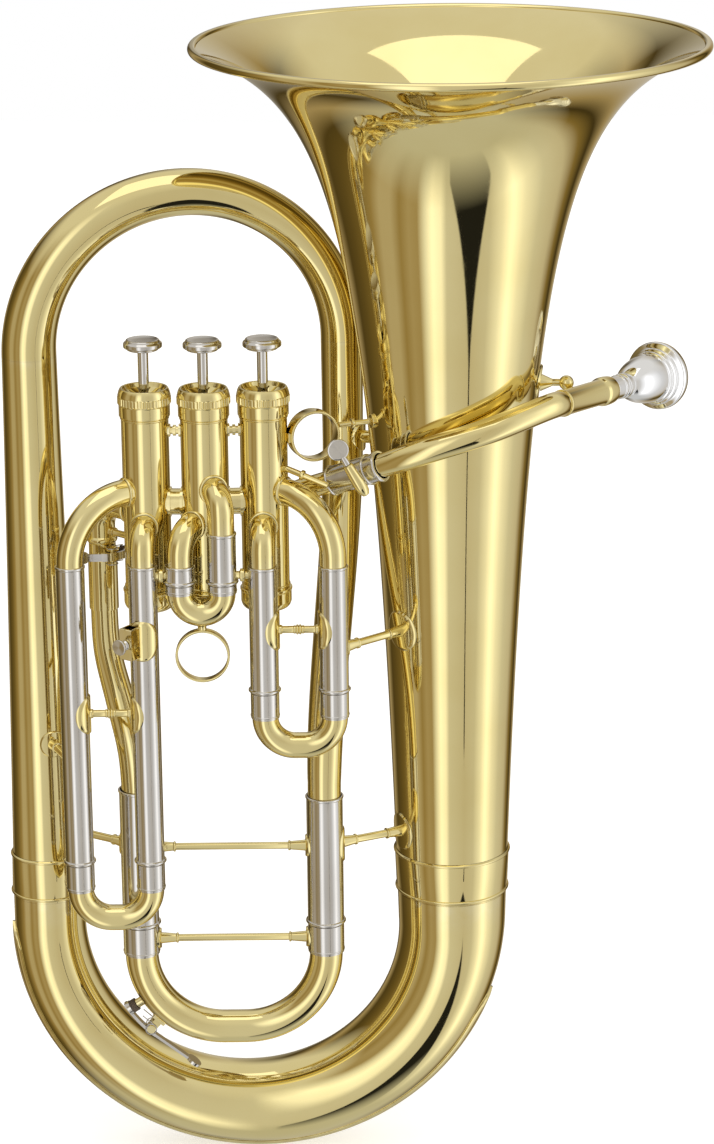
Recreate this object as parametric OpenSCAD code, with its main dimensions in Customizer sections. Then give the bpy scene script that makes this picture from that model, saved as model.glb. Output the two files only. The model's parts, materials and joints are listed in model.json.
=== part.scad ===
// Euphonium with three top-action piston valves.
// Millimetres. +Z up along the bell, +X towards the mouthpiece side, +Y away from
// the valve side. The origin is on the bell's axis, level with the bow guard's
// lowest point, where a stand's cradle carries the instrument.

/* [Bell] */
// Height of the bell's rim above the lowest point
bell_height = 642; // [641.5:0.1:642.5]
// Outer radius of the bell's rim
rim_r = 139.7; // [139:0.1:140]
// Length that sets how quickly the bell flares
flare_len = 25; // [24.5:0.1:25.5]
// Thickness of the bell's sheet
bell_wall = 0.8; // [0.6:0.1:1]
// Radius of the rolled bead at the rim
bead_r = 2.3; // [2.2:0.1:2.4]

/* [Body tubes] */
// Distance from the bell's axis to the outer branch's axis
branch_x = 230; // [229.5:0.1:230.5]
// Wall thickness of the body tubes
tube_wall = 0.8; // [0.6:0.1:1]
// Height of the joint between the bell and the bottom bow
joint_z = 158; // [157.5:0.1:158.5]
// Height of the joint between the outer branch and the top bow
bow_top_z = 473.2; // [472.7:0.1:473.7]
// Lowest point of the bottom bow's centre line
bow_low_z = 25.7; // [25.4:0.1:26]

/* [Valves] */
// Distance between neighbouring valves
valve_pitch = 32; // [31.9:0.1:32.1]
// Outer radius of a valve casing
casing_r = 12.9; // [12.8:0.05:13]
// Radius of a piston
piston_r = 11.6; // [11.5:0.05:11.6]
// Radial clearance of a running fit
running_gap = 0.05; // [0.03:0.01:0.08]
// Travel of a piston
valve_stroke = 17.5; // [15:0.5:17.5]

/* [Valve slides] */
// Radius of the bore through the valves
bore_r = 6.6; // [6.5:0.05:6.65]
// Outer radius of the valve tubes
valve_tube_r = 7.2; // [7.15:0.05:7.2]
// Outer radius of the nickel slide sleeves
sleeve_r = 7.85; // [7.8:0.05:7.9]
// Depth of the valve slides in front of the bell's axis
slide_y = -56; // [-56.3:0.1:-55.8]

/* [Main tuning slide] */
// Outer radius of the main slide's brass bow
main_r = 9.3; // [9.2:0.05:9.3]
// Outer radius of the main slide's sleeves
main_sleeve_r = 10.2; // [10.1:0.05:10.2]
// Distance between the main slide's two legs
main_span = 104; // [103.8:0.1:104.2]

/* [Mouthpiece] */
// Radius of the mouthpiece's rim
mouth_rim_r = 19.2; // [18.9:0.1:19.4]
// Radius of the cup at the rim
cup_r = 12.8; // [12.6:0.1:13]

/* [Hidden] */

$fn = 48;

BRASS = [0.88, 0.76, 0.42];
NICKEL = [0.78, 0.77, 0.75];
SILVER = [0.90, 0.91, 0.93];
FELT = [0.80, 0.10, 0.12];
CORK = [0.12, 0.10, 0.09];
STEEL = [0.55, 0.56, 0.58];

skin = 0.05;          // gap left where one fixed piece sits round another
tube_sides = 32;      // sides of a swept tube

// Places of the valves, from the first to the third
first_valve_x = -102;
VALVES = [
    [first_valve_x, -32],
    [first_valve_x - valve_pitch, -34],
    [first_valve_x - 2*valve_pitch, -32]
];
casing_low = 342;
casing_high = 450;
cap_floor = 340.5;
piston_low = 367;
piston_high = 446;
button_low = 482.3;
port_high = 405;      // height of the upper row of ports
port_mid = 398;       // height of the knuckles
port_low = 387;       // height of the lower row of ports
stem_r = 2.9;

// Slides: [left leg x, right leg x, sleeve bottom, left sleeve top, right sleeve top,
//          band bottom, bend radius, left leg top, right leg top]
SLIDE_1 = [-103.2, -65.2, 296.5, 368, 368, 281.5, 16.5, 360, 360];
SLIDE_2 = [-148, -125.2, 358.5, 369, 387, 353, 11.4, 366.4, 380];
SLIDE_3 = [-207.2, -168.2, 197.5, 369.3, 369.3, 181.5, 17, 355, 355];
SLIDES = [SLIDE_1, SLIDE_2, SLIDE_3];

main_y = -35;
main_right_x = -71.8;
main_left_x = main_right_x - main_span;
main_low = 152;
main_high_right = 228;
main_high_left = 233;
main_band_low = 134.5;
main_bend = 46;
main_leg_high = 222;

branch_low_r = 20.2;
branch_high_r = 15;
inner_low_r = 9.9;
inner_high_r = 11.7;
inner_y = 34;         // depth of the inner branch where it passes the bell
inner_x = -59.4;
top_bend = (branch_x + inner_x)/2;
top_mid_x = (inner_x - branch_x)/2;

// Receiver and mouthpiece line
receiver_at = [59.2, -27, 449];
receiver_len = 49;
pipe_r = 7;
aim_turn = 54;        // turn of the receiver's axis from +X towards +Y
aim_drop = -3;        // its slope below the level

// ---------- vectors and curves ----------
function unit(v) = v/norm(v);
function mix(a, b, t) = a + (b - a)*t;
function ease(t) = let(c = max(0, min(1, t))) c*c*(3 - 2*c);
function aim() = [cos(aim_drop)*cos(aim_turn), cos(aim_drop)*sin(aim_turn), sin(aim_drop)];

// Smooth curve through a list of points, t from 0 to the number of stretches
function curve_point(p, t) =
    let(i = min(floor(t), len(p) - 4), s = t - i,
        a = p[i], b = p[i + 1], c = p[i + 2], d = p[i + 3])
    0.5*((2*b) + (c - a)*s + (2*a - 5*b + 4*c - d)*s*s + (3*b - a - 3*c + d)*s*s*s);

function tangent(path, i) =
    unit(path[min(i + 1, len(path) - 1)] - path[max(i - 1, 0)]);

// One ring of a swept tube: n points round the path's point i
function tube_ring(path, i, r, n, ref) =
    let(t = tangent(path, i), u = unit(cross(t, ref)), v = cross(t, u))
    [for (k = [0:n - 1]) path[i] + r*(cos(360*k/n)*u + sin(360*k/n)*v)];

// Hollow tube along a path, with the outer radius given at each point
module swept_tube(path, radii, wall, n = tube_sides, ref = [0, 1, 0]) {
    m = len(path);
    outer = [for (i = [0:m - 1]) each tube_ring(path, i, radii[i], n, ref)];
    inner = [for (i = [0:m - 1]) each tube_ring(path, i, radii[i] - wall, n, ref)];
    side = [for (i = [0:m - 2], k = [0:n - 1])
        [i*n + k, i*n + (k + 1)%n, (i + 1)*n + (k + 1)%n, (i + 1)*n + k]];
    lining = [for (f = side) [f[3] + m*n, f[2] + m*n, f[1] + m*n, f[0] + m*n]];
    start = [for (k = [0:n - 1]) [k, m*n + k, m*n + (k + 1)%n, (k + 1)%n]];
    last = (m - 1)*n;
    finish = [for (k = [0:n - 1])
        [last + (k + 1)%n, m*n + last + (k + 1)%n, m*n + last + k, last + k]];
    polyhedron(concat(outer, inner), concat(side, lining, start, finish), convexity = 8);
}

// Solid bar along a path; each section is a loop of n points
module swept_bar(sections) {
    n = len(sections[0]);
    m = len(sections);
    points = [for (s = sections) each s];
    side = [for (i = [0:m - 2], k = [0:n - 1])
        [i*n + k, i*n + (k + 1)%n, (i + 1)*n + (k + 1)%n, (i + 1)*n + k]];
    start = [[for (k = [n - 1:-1:0]) k]];
    finish = [[for (k = [0:n - 1]) (m - 1)*n + k]];
    polyhedron(points, concat(side, start, finish), convexity = 8);
}

module tube(outer, inner, height) {
    difference() {
        cylinder(r = outer, h = height);
        translate([0, 0, -1]) cylinder(r = inner, h = height + 2);
    }
}

// Ring with a rounded outside, used for beads and collars
module bead(outer, inner, height) {
    corner = height/3;
    rotate_extrude()
        polygon([
            [inner, 0], [outer - corner, 0], [outer - corner*0.3, corner*0.3], [outer, corner],
            [outer, height - corner], [outer - corner*0.3, height - corner*0.3],
            [outer - corner, height], [inner, height]
        ]);
}

// Turns +Z onto the level direction that lies at angle a from +X
module facing(a) {
    rotate([0, 90, a]) children();
}

module at_valve(i) {
    translate([VALVES[i][0], VALVES[i][1], 0]) children();
}

// Plate bent onto a vertical tube: a round patch seen along angle a
module saddle(tube_r, thick, plate_r, a, taper = 0) {
    reach = plate_r + 2;
    intersection() {
        translate([0, 0, -reach])
            difference() {
                cylinder(r1 = tube_r + thick - taper*reach, r2 = tube_r + thick + taper*reach,
                    h = 2*reach);
                translate([0, 0, -0.01])
                    cylinder(r1 = tube_r - taper*reach, r2 = tube_r + taper*reach,
                        h = 2*reach + 0.02);
            }
        facing(a) cylinder(r = plate_r, h = tube_r + 2*thick + 2);
    }
}

// Conical socket that joins a rod to its saddle, pointing along +Z
module socket(base_r, tip_r, length) {
    lip = 1.2;
    cylinder(r1 = base_r, r2 = tip_r, h = length);
    translate([0, 0, length - lip]) cylinder(r = tip_r + 0.5, h = lip);
}

// Level brace between two upright tubes. Each end is [x, y, tube radius, taper];
// near_r is the radius of the first plate where it differs from the second's
module level_brace(z, from, to, rod_r, plate_r, socket_len, base_r = 3.4, plate = 0.9, near_r = 0) {
    span = [to[0] - from[0], to[1] - from[1]];
    a = atan2(span[1], span[0]);
    length = norm(span);
    bite = plate/2;
    translate([from[0], from[1], z]) {
        saddle(from[2] + skin, plate, near_r > 0 ? near_r : plate_r, a, from[3]);
        facing(a) translate([0, 0, from[2] + bite]) {
            socket(base_r, rod_r + 0.4, socket_len);
            cylinder(r = rod_r, h = length - from[2] - to[2] - 2*bite);
        }
    }
    translate([to[0], to[1], z]) {
        saddle(to[2] + skin, plate, plate_r, a + 180, to[3]);
        facing(a + 180) translate([0, 0, to[2] + bite])
            socket(base_r, rod_r + 0.4, socket_len);
    }
}

// ---------- bell and body tubes ----------
bell_plane = bell_height - 1;
function bell_r(z) = rim_r*sqrt(flare_len/(bell_plane - z + flare_len));
function bell_slope(z) = 0.5*bell_r(z)/(bell_plane - z + flare_len);

// Points down the bell, close together in the flare
bell_steps = 34;
bell_edge = rim_r - 4.2; // radius at which the sheet meets the bead
bell_top = bell_plane - flare_len*(pow(rim_r/bell_edge, 2) - 1);
function bell_z(k) = bell_top - (bell_top - joint_z)*pow(k/bell_steps, 1.9);
function bell_inner(z) =
    let(m = bell_slope(z), c = 1/sqrt(1 + m*m))
    [bell_r(z) - bell_wall*c, z + bell_wall*m*c];

module bell() {
    color(BRASS) {
        difference() {
            rotate_extrude($fn = 96)
                polygon(concat(
                    [for (k = [0:bell_steps]) [bell_r(bell_z(k)), bell_z(k)]],
                    [[bell_r(joint_z) - bell_wall, joint_z]],
                    [for (k = [bell_steps - 1:-1:0]) bell_inner(bell_z(k))]
                ));
            translate([0, 0, bell_height - bead_r])
                rotate_extrude($fn = 96) translate([rim_r - bead_r, 0]) circle(r = bead_r - 0.3);
        }
        rim_bead();
    }
}

// Rolled bead with a narrow flat on top, on which the bell stands when it is put down
module rim_bead() {
    flat = 0.2;
    translate([0, 0, bell_height - bead_r])
        rotate_extrude($fn = 96)
            difference() {
                translate([rim_r - bead_r, 0]) circle(r = bead_r);
                translate([rim_r - bead_r, 0]) circle(r = bead_r - 0.7);
                translate([rim_r - 2*bead_r - 1, bead_r - flat]) square([2*bead_r + 2, 1]);
            }
}

module rim_wire() {
    color(STEEL)
        translate([0, 0, bell_height - bead_r])
            rotate_extrude($fn = 96) translate([rim_r - bead_r, 0]) circle(r = bead_r - 0.8);
}

ferrule_low = joint_z + 1;
ferrule_len = 24.5;
function branch_r(z) =
    branch_high_r + (branch_low_r - branch_high_r)*pow((bow_top_z - z)/(bow_top_z - joint_z), 1.2);

// Band that covers a joint, with a bead at each end; it follows the tube's taper
module ferrule(r_low, r_high) {
    lift = 0.5;
    ring = 3.4;
    difference() {
        union() {
            cylinder(r1 = r_low + lift, r2 = r_high + lift, h = ferrule_len);
            bead(r_low + 2*lift, min(r_low, r_high) - 1, ring);
            translate([0, 0, ferrule_len - ring])
                bead(r_high + 2*lift, min(r_low, r_high) - 1, ring);
        }
        translate([0, 0, -0.01])
            cylinder(r1 = r_low + skin, r2 = r_high + skin, h = ferrule_len + 0.02);
    }
}

module ferrules() {
    top = ferrule_low + ferrule_len;
    color(BRASS) {
        translate([0, 0, ferrule_low]) ferrule(bell_r(ferrule_low) + 0.1, bell_r(top) + 0.1);
        translate([-branch_x, 0, ferrule_low]) ferrule(branch_r(ferrule_low) + 0.1, branch_r(top) + 0.1);
    }
}

// Bottom bow's centre line from the branch, round the bottom, up to the bell
bow_rings = 30;
bow_bend = branch_x/2;
BOW_PATH = concat(
    [[-branch_x, 0, joint_z - skin]],
    [for (k = [0:bow_rings]) let(a = 180 + 180*k/bow_rings)
        [bow_bend*(cos(a) - 1), 0, bow_low_z + bow_bend*(1 + sin(a))]],
    [[0, 0, joint_z - skin]]
);
function bow_r(i) = mix(branch_low_r, bell_r(joint_z), pow(i/(len(BOW_PATH) - 1), 1.45));

module bottom_bow() {
    color(BRASS)
        swept_tube(BOW_PATH, [for (i = [0:len(BOW_PATH) - 1]) bow_r(i)], tube_wall);
}

// Guard plate along the outside of the bottom bow
guard_half = 34;      // half of the angle that the guard covers
guard_thick = 1.3;
module bow_guard() {
    arc = 8;
    first = 1;
    last = len(BOW_PATH) - 5;
    color(BRASS)
        swept_bar([for (i = [first:last])
            let(t = tangent(BOW_PATH, i), out = cross([0, 1, 0], t), p = BOW_PATH[i],
                r = bow_r(i) + 0.15)
            concat(
                [for (k = [0:arc]) let(a = guard_half*(2*k/arc - 1))
                    p + (r + guard_thick)*(cos(a)*out - sin(a)*[0, 1, 0])],
                [for (k = [arc:-1:0]) let(a = guard_half*(2*k/arc - 1))
                    p + r*(cos(a)*out - sin(a)*[0, 1, 0])]
            )]);
}

module outer_branch() {
    steps = 12;
    low = joint_z;
    high = bow_top_z - top_stub - skin;
    z_of = [for (k = [0:steps]) mix(low, high, k/steps)];
    color(BRASS)
        translate([-branch_x, 0, 0])
            rotate_extrude($fn = 64)
                polygon(concat(
                    [for (z = z_of) [branch_r(z), z]],
                    [for (k = [steps:-1:0]) [branch_r(z_of[k]) - tube_wall, z_of[k]]]
                ));
}

// Top bow: a half circle that leans back as it comes towards the bell
top_rings = 30;
top_stub = 1;         // upright end of the bow, below its first and last ring
TOP_PATH = concat(
    [[-branch_x, 0, bow_top_z - top_stub]],
    [for (k = [0:top_rings]) let(a = 180 - 180*k/top_rings)
        [top_mid_x + top_bend*cos(a), inner_y*(1 + cos(a))/2, bow_top_z + top_bend*sin(a)]],
    [[inner_x, inner_y, bow_top_z - top_stub]]
);
module top_bow() {
    radii = concat([branch_high_r],
        [for (k = [0:top_rings]) mix(inner_high_r, branch_high_r, pow(1 - k/top_rings, 1.5))],
        [inner_high_r]);
    color(BRASS) swept_tube(TOP_PATH, radii, tube_wall);
}

// Inner branch: from the top bow behind the bell, forward and down to the main slide
branch_rings = 22;
lean_high = 420;      // height at which the sideways bend ends
lean_end = bow_top_z - 3*top_stub;
function inner_at(z) = [
    mix(main_right_x, inner_x, ease((z - main_high_right)/(lean_high - main_high_right))),
    mix(main_y, inner_y, ease((z - main_high_right)/(lean_end - main_high_right))),
    z
];
INNER_PATH = concat(
    [for (k = [0:branch_rings]) inner_at(mix(main_high_right - 5, lean_end, k/branch_rings))],
    [[inner_x, inner_y, bow_top_z - top_stub - skin]]
);
function inner_r(t) = mix(main_r - 0.1, inner_high_r, pow(max(0, t - 0.05)/0.95, 0.65));
module inner_branch() {
    radii = concat([for (k = [0:branch_rings]) inner_r(k/branch_rings)], [inner_high_r]);
    color(BRASS) swept_tube(INNER_PATH, radii, tube_wall);
}

// Crook from the third valve: level, round a bend, down a leg and forward to the main slide
crook_port_z = 392;
crook_leg = [-192.8, -8];
crook_reach = norm([crook_leg[0] - VALVES[2][0], crook_leg[1] - VALVES[2][1]]);
crook_turn = atan2(crook_leg[1] - VALVES[2][1], crook_leg[0] - VALVES[2][0]);
crook_bend = 14;
crook_r = 7.5;        // radius of the crook's upper leg
ferrule_r = 8.2;      // radius of the ferrule on its lower leg
leg_top = 359;
leg_low = 330;
function crook_out(d, z) =
    [VALVES[2][0] + d*cos(crook_turn), VALVES[2][1] + d*sin(crook_turn), z];
CROOK_POINTS = [
    [crook_leg[0], crook_leg[1], leg_low + 20], [crook_leg[0], crook_leg[1], leg_low - 1],
    [-191.4, -10.5, 305], [-184.6, -21, 280], [-178, -31.5, 257],
    [main_left_x, main_y, 239], [main_left_x, main_y, 220], [main_left_x, main_y, 201]
];
crook_rings = 16;
crook_stretches = len(CROOK_POINTS) - 3;
CROOK_PATH = concat(
    [crook_out(5, crook_port_z)],
    [for (a = [0:15:90]) crook_out(crook_reach - crook_bend + crook_bend*sin(a),
        crook_port_z - crook_bend + crook_bend*cos(a))],
    [for (z = [372, 371.8, 368.6, 368.4, leg_top, leg_top - 0.4, leg_low + 0.4, leg_low])
        [crook_leg[0], crook_leg[1], z]],
    [for (k = [0:crook_rings]) curve_point(CROOK_POINTS, crook_stretches*k/crook_rings)]
);
CROOK_RADII = concat(
    [for (k = [0:8]) crook_r], [crook_r + 1.1, crook_r + 1.1, crook_r, crook_r],
    [ferrule_r, ferrule_r, crook_r],
    [for (k = [0:crook_rings]) mix(crook_r, main_r - 0.3, ease(1.2*k/crook_rings))]
);
module valve_crook() {
    color(BRASS)
        difference() {
            swept_tube(CROOK_PATH, CROOK_RADII, 0.7, 28);
            at_valve(2) cylinder(r = casing_r + skin, h = bell_height);
        }
}

// ---------- main tuning slide ----------
module main_sleeve(x, high) {
    clear = main_r + running_gap;
    ring = 3;
    translate([x, main_y, main_low]) {
        translate([0, 0, ring - 1]) tube(main_sleeve_r, clear, high - main_low - ring + 1);
        bead(main_sleeve_r + 1.1, clear, ring);
        translate([0, 0, high - main_low - 2.4]) bead(main_sleeve_r + 0.5, clear, 2.4);
    }
}

module main_sleeves() {
    color(NICKEL) {
        main_sleeve(main_right_x, main_high_right);
        main_sleeve(main_left_x, main_high_left);
    }
}

// Sliding legs: a thin tube inside the sleeve, and a band as wide as the sleeve below it
module sliding_leg(x, y, leg_r, band_r, band_low, sleeve_low, high, inner) {
    band_gap = 0.4;
    band_len = sleeve_low - band_gap - band_low;
    translate([x, y, band_low]) {
        tube(leg_r, inner, high - band_low);
        difference() {
            union() {
                tube(band_r, inner, band_len);
                translate([0, 0, 1.2]) tube(band_r + 0.25, inner, 0.8);
            }
            translate([0, 0, -1]) cylinder(r = inner, h = band_len + 2);
        }
    }
}

module main_legs() {
    color(NICKEL)
        for (x = [main_left_x, main_right_x])
            sliding_leg(x, main_y, main_r, main_sleeve_r, main_band_low, main_low,
                main_leg_high - 8, main_r - 0.7);
}

// U-shaped bow below the legs: two quarter bends and a straight piece between them
module slide_bow(left_x, right_x, y, z, bend, outer, inner) {
    straight = right_x - left_x - 2*bend;
    drop = 0.03;
    translate([0, y, z - drop]) {
        translate([left_x + bend, 0, 0])
            rotate([90, 0, 0]) rotate([0, 0, 180]) rotate_extrude(angle = 90)
                difference() {
                    translate([bend, 0]) circle(r = outer);
                    translate([bend, 0]) circle(r = inner);
                }
        translate([right_x - bend, 0, 0])
            rotate([90, 0, 0]) rotate([0, 0, 270]) rotate_extrude(angle = 90)
                difference() {
                    translate([bend, 0]) circle(r = outer);
                    translate([bend, 0]) circle(r = inner);
                }
        if (straight > 0.5)
            translate([left_x + bend, 0, -bend]) rotate([0, 90, 0]) tube(outer, inner, straight);
    }
}

module main_bow() {
    color(BRASS)
        slide_bow(main_left_x, main_right_x, main_y, main_band_low, main_bend, main_r, main_r - 0.7);
}

main_brace_z = 143;
module main_slide_brace() {
    color(BRASS)
        level_brace(main_brace_z, [main_left_x, main_y, main_sleeve_r + 0.3, 0],
            [main_right_x, main_y, main_sleeve_r + 0.3, 0], 2, 6, 10, 3.2);
}

// ---------- valves ----------
// Directions of the tubes that meet each casing: [angle, height]
PORTS = [
    [[-34, port_high], [-91, port_low], [45, 397], [184, port_mid]],
    [[4, port_mid], [-68, port_high + 3], [-122, port_low + 1], [176, port_mid]],
    [[-4, port_mid], [-94, port_low], [210, port_high], [crook_turn, crook_port_z]]
];

module casing(i) {
    color(BRASS)
        at_valve(i)
            difference() {
                union() {
                    translate([0, 0, casing_low])
                        tube(casing_r, piston_r + running_gap, casing_high - casing_low);
                    for (z = [casing_low + 8.5, casing_high - 5.2])
                        translate([0, 0, z]) tube(casing_r + 0.5, casing_r - 0.5, 1);
                }
                for (port = PORTS[i])
                    translate([0, 0, port[1]]) facing(port[0]) cylinder(r = bore_r, h = casing_r + 3);
            }
}

cap_skirt_r = 13.9;
module top_cap() {
    knurl_r = 14.6;
    knurl_z = casing_high + 3.2;
    crown_z = casing_high + 11.8;
    teeth = 44;
    seat = 456;
    difference() {
        union() {
            rotate_extrude()
                polygon([
                    [0, casing_high - 3.6], [cap_skirt_r, casing_high - 3.6],
                    [cap_skirt_r, knurl_z - 0.6], [knurl_r - 0.3, knurl_z],
                    [knurl_r - 0.3, knurl_z + 4], [knurl_r - 0.2, knurl_z + 4.4],
                    [12.9, crown_z], [0, crown_z]
                ]);
            for (k = [0:teeth - 1])
                rotate([0, 0, 360*k/teeth])
                    translate([knurl_r - 0.6, -0.45, knurl_z + 0.4]) cube([0.6, 0.9, 3.4]);
        }
        translate([0, 0, casing_high - 10]) cylinder(r = casing_r + skin, h = 10 + skin);
        rotate_extrude()
            polygon([
                [0, seat], [6.2, seat], [7.6, seat + 0.6], [10.6, seat + 3.4],
                [11.9, crown_z + 0.1], [11.9, crown_z + 1], [0, crown_z + 1]
            ]);
        cylinder(r = stem_r + running_gap, h = bell_height);
    }
}

module top_caps() {
    color(BRASS) for (i = [0:2]) at_valve(i) top_cap();
}

module bottom_cap() {
    high = casing_low + 7.4;
    low = cap_floor - 3.3;
    rotate_extrude()
        polygon([
            [2.5, low + 0.8], [9, low], [12, low + 0.8], [13.4, low + 2.6], [cap_skirt_r, low + 5],
            [cap_skirt_r, high - 1.8], [cap_skirt_r + 0.4, high - 1.4],
            [cap_skirt_r + 0.4, high - 0.3], [cap_skirt_r, high], [casing_r + skin, high],
            [casing_r + skin, casing_low - skin], [piston_r - 0.4, casing_low - skin],
            [piston_r - 0.4, cap_floor], [2.5, cap_floor]
        ]);
}

module bottom_caps() {
    color(BRASS) for (i = [0:2]) at_valve(i) bottom_cap();
}

module bumper_felts() {
    color(FELT)
        for (i = [0:2]) at_valve(i)
            translate([0, 0, piston_high + 0.4]) tube(8, stem_r + 0.4, 3.5);
}

// Piston: a closed barrel with the passage for the open valve and two for the loop
module piston(i) {
    color(NICKEL)
        at_valve(i)
            difference() {
                translate([0, 0, piston_low])
                    cylinder(r = piston_r, h = piston_high - piston_low);
                translate([0, 0, piston_low - 1]) cylinder(r = piston_r - 1.6, h = 9);
                translate([0, 0, piston_high - 24]) cylinder(r = piston_r - 1.6, h = 22);
                translate([0, 0, piston_high - 3]) cylinder(r = stem_r, h = 4);
                translate([0, 0, port_mid]) facing(0)
                    translate([0, 0, -piston_r - 1]) cylinder(r = bore_r - 1, h = 2*piston_r + 2);
                for (side = [45, 225])
                    translate([0, 0, port_low - 2.6]) facing(side)
                        cylinder(r = 3.6, h = piston_r + 1);
                translate([0, 0, port_low - 2.6]) cylinder(r = 3.6, h = 1, center = true);
            }
}

module stem(i) {
    color(NICKEL)
        at_valve(i) {
            translate([0, 0, piston_high - 3 + skin])
                cylinder(r = stem_r - 0.02, h = button_low - piston_high + 3 - 2*skin);
        }
}

module button(i) {
    base = button_low;
    color(NICKEL)
        at_valve(i)
            rotate_extrude()
                polygon([
                    [0, base], [7.4, base], [8.6, base + 0.5], [8.6, base + 1.2],
                    [10.2, base + 1.5], [10.5, base + 2], [10.5, base + 3.9], [10.2, base + 4.4],
                    [9.3, base + 5], [8.8, base + 5.9], [8.3, base + 6.2], [7.6, base + 6],
                    [0, base + 5.7]
                ]);
}

// Return spring under the piston
spring_turns = 5;
spring_r = 8.6;
wire_r = 0.5;
module spring(i) {
    per_turn = 14;
    low = cap_floor + wire_r + 0.1;
    high = piston_low - wire_r - 0.1;
    rings = spring_turns*per_turn;
    path = [for (k = [0:rings]) let(a = 360*k/per_turn)
        [spring_r*cos(a), spring_r*sin(a), mix(low, high, k/rings)]];
    color(STEEL)
        at_valve(i)
            swept_bar([for (k = [0:rings]) tube_ring(path, k, wire_r, 6, [0, 0, 1])]);
}

// Knuckles that join the casings, and the short braces above and below them
module knuckle(i, z, r, ring_r) {
    a = VALVES[i];
    b = VALVES[i + 1];
    span = b - a;
    turn = atan2(span[1], span[0]);
    gap = norm(span);
    difference() {
        translate([a[0], a[1], z]) facing(turn)
            difference() {
                union() {
                    cylinder(r = r, h = gap);
                    for (d = [casing_r - 1, gap - casing_r - 0.5])
                        translate([0, 0, d]) cylinder(r = ring_r, h = 1.5);
                }
                translate([0, 0, -1]) cylinder(r = r - 0.7, h = gap + 2);
            }
        for (p = [a, b])
            translate([p[0], p[1], 0]) cylinder(r = casing_r + skin, h = bell_height);
    }
}

module short_brace(i, z) {
    a = VALVES[i];
    b = VALVES[i + 1];
    span = b - a;
    turn = atan2(span[1], span[0]);
    gap = norm(span);
    difference() {
        translate([a[0], a[1], z]) facing(turn) {
            cylinder(r = 2.1, h = gap);
            translate([0, 0, casing_r - 0.6]) cylinder(r = 3.6, h = 1.4);
            translate([0, 0, gap - casing_r - 0.8]) cylinder(r = 3.6, h = 1.4);
            translate([0, 0, gap/2 - 0.8]) cylinder(r = 3, h = 1.6);
        }
        for (p = [a, b])
            translate([p[0], p[1], 0]) cylinder(r = casing_r + skin, h = bell_height);
    }
}

module valve_knuckles() {
    color(BRASS)
        for (i = [0:1]) {
            knuckle(i, port_mid, valve_tube_r, valve_tube_r + 1);
            short_brace(i, 438);
        }
}

// ---------- valve slides ----------
module sleeve(x, low, high) {
    clear = valve_tube_r + running_gap;
    ring = 2.4;
    translate([x, slide_y, low]) {
        translate([0, 0, ring - 1]) tube(sleeve_r, clear, high - low - ring + 1);
        bead(sleeve_r + 0.75, clear, ring);
        translate([0, 0, high - low - 1.6]) bead(sleeve_r + 0.35, clear, 1.6);
    }
}

module slide_sleeves() {
    color(NICKEL)
        for (s = SLIDES) {
            sleeve(s[0], s[2], s[3]);
            sleeve(s[1], s[2], s[4]);
        }
}

// Crook from a casing's port, out level and round into the top of a sleeve
module crook_core(r, reach, bend, tail) {
    straight = reach - bend;
    rotate([0, 90, 0]) cylinder(r = r, h = straight);
    translate([straight, 0, -bend]) rotate([90, 0, 0])
        rotate_extrude(angle = 90) translate([bend, 0]) circle(r = r);
    translate([reach, 0, -bend - tail]) cylinder(r = r, h = tail);
}

module port_crook(i, leg_x, port_z, sleeve_top) {
    v = VALVES[i];
    span = [leg_x - v[0], slide_y - v[1]];
    reach = norm(span);
    seat = 2;         // depth to which the crook enters the sleeve
    bend = min(reach - casing_r + 1.5, port_z - sleeve_top - 0.5);
    tail = port_z - bend - sleeve_top + seat;
    difference() {
        translate([v[0], v[1], port_z]) rotate([0, 0, atan2(span[1], span[0])])
            difference() {
                union() {
                    crook_core(valve_tube_r, reach, bend, tail);
                    translate([casing_r - 1.5, 0, 0]) rotate([0, 90, 0])
                        cylinder(r = valve_tube_r + 0.9, h = 2.6);
                }
                crook_core(bore_r, reach, bend, tail);
            }
        translate([v[0], v[1], 0]) cylinder(r = casing_r + skin, h = bell_height);
    }
}

module slide_crooks() {
    color(BRASS) {
        port_crook(0, SLIDE_1[0], port_low, SLIDE_1[3]);
        port_crook(0, SLIDE_1[1], port_high, SLIDE_1[4]);
        port_crook(1, SLIDE_2[0], port_low + 1, SLIDE_2[3]);
        port_crook(1, SLIDE_2[1], port_high + 3, SLIDE_2[4]);
        port_crook(2, SLIDE_3[0], port_high, SLIDE_3[3]);
        port_crook(2, SLIDE_3[1], port_low, SLIDE_3[4]);
    }
}

module slide_legs(s) {
    color(NICKEL) {
        sliding_leg(s[0], slide_y, valve_tube_r, sleeve_r, s[5], s[2], s[7], bore_r);
        sliding_leg(s[1], slide_y, valve_tube_r, sleeve_r, s[5], s[2], s[8], bore_r);
    }
}

module valve_bow(s) {
    color(BRASS) slide_bow(s[0], s[1], slide_y, s[5], s[6], valve_tube_r, bore_r);
}

// Ring under the second slide's bow, and the stub that carries it
ring_r = 14.8;
ring_z = SLIDE_2[5] - SLIDE_2[6] - valve_tube_r - ring_r - 2;
module pull_ring() {
    wide = 6;
    mid = (SLIDE_2[0] + SLIDE_2[1])/2;
    color(BRASS)
        translate([mid, slide_y, ring_z])
            difference() {
                union() {
                    rotate([90, 0, 0]) translate([0, 0, -wide/2]) tube(ring_r, ring_r - 1.3, wide);
                    translate([0, 0, ring_r - 0.8]) cylinder(r = 2.4, h = 5);
                }
                rotate([0, 90, 0])
                    translate([-ring_r - 2 - valve_tube_r, 0, -10])
                        cylinder(r = valve_tube_r + skin, h = 20);
                translate([0, wide, ring_r + 2 + valve_tube_r + SLIDE_2[6]]) rotate([90, 0, 0])
                    rotate_extrude() translate([SLIDE_2[6], 0]) circle(r = valve_tube_r + skin);
            }
}

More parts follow.
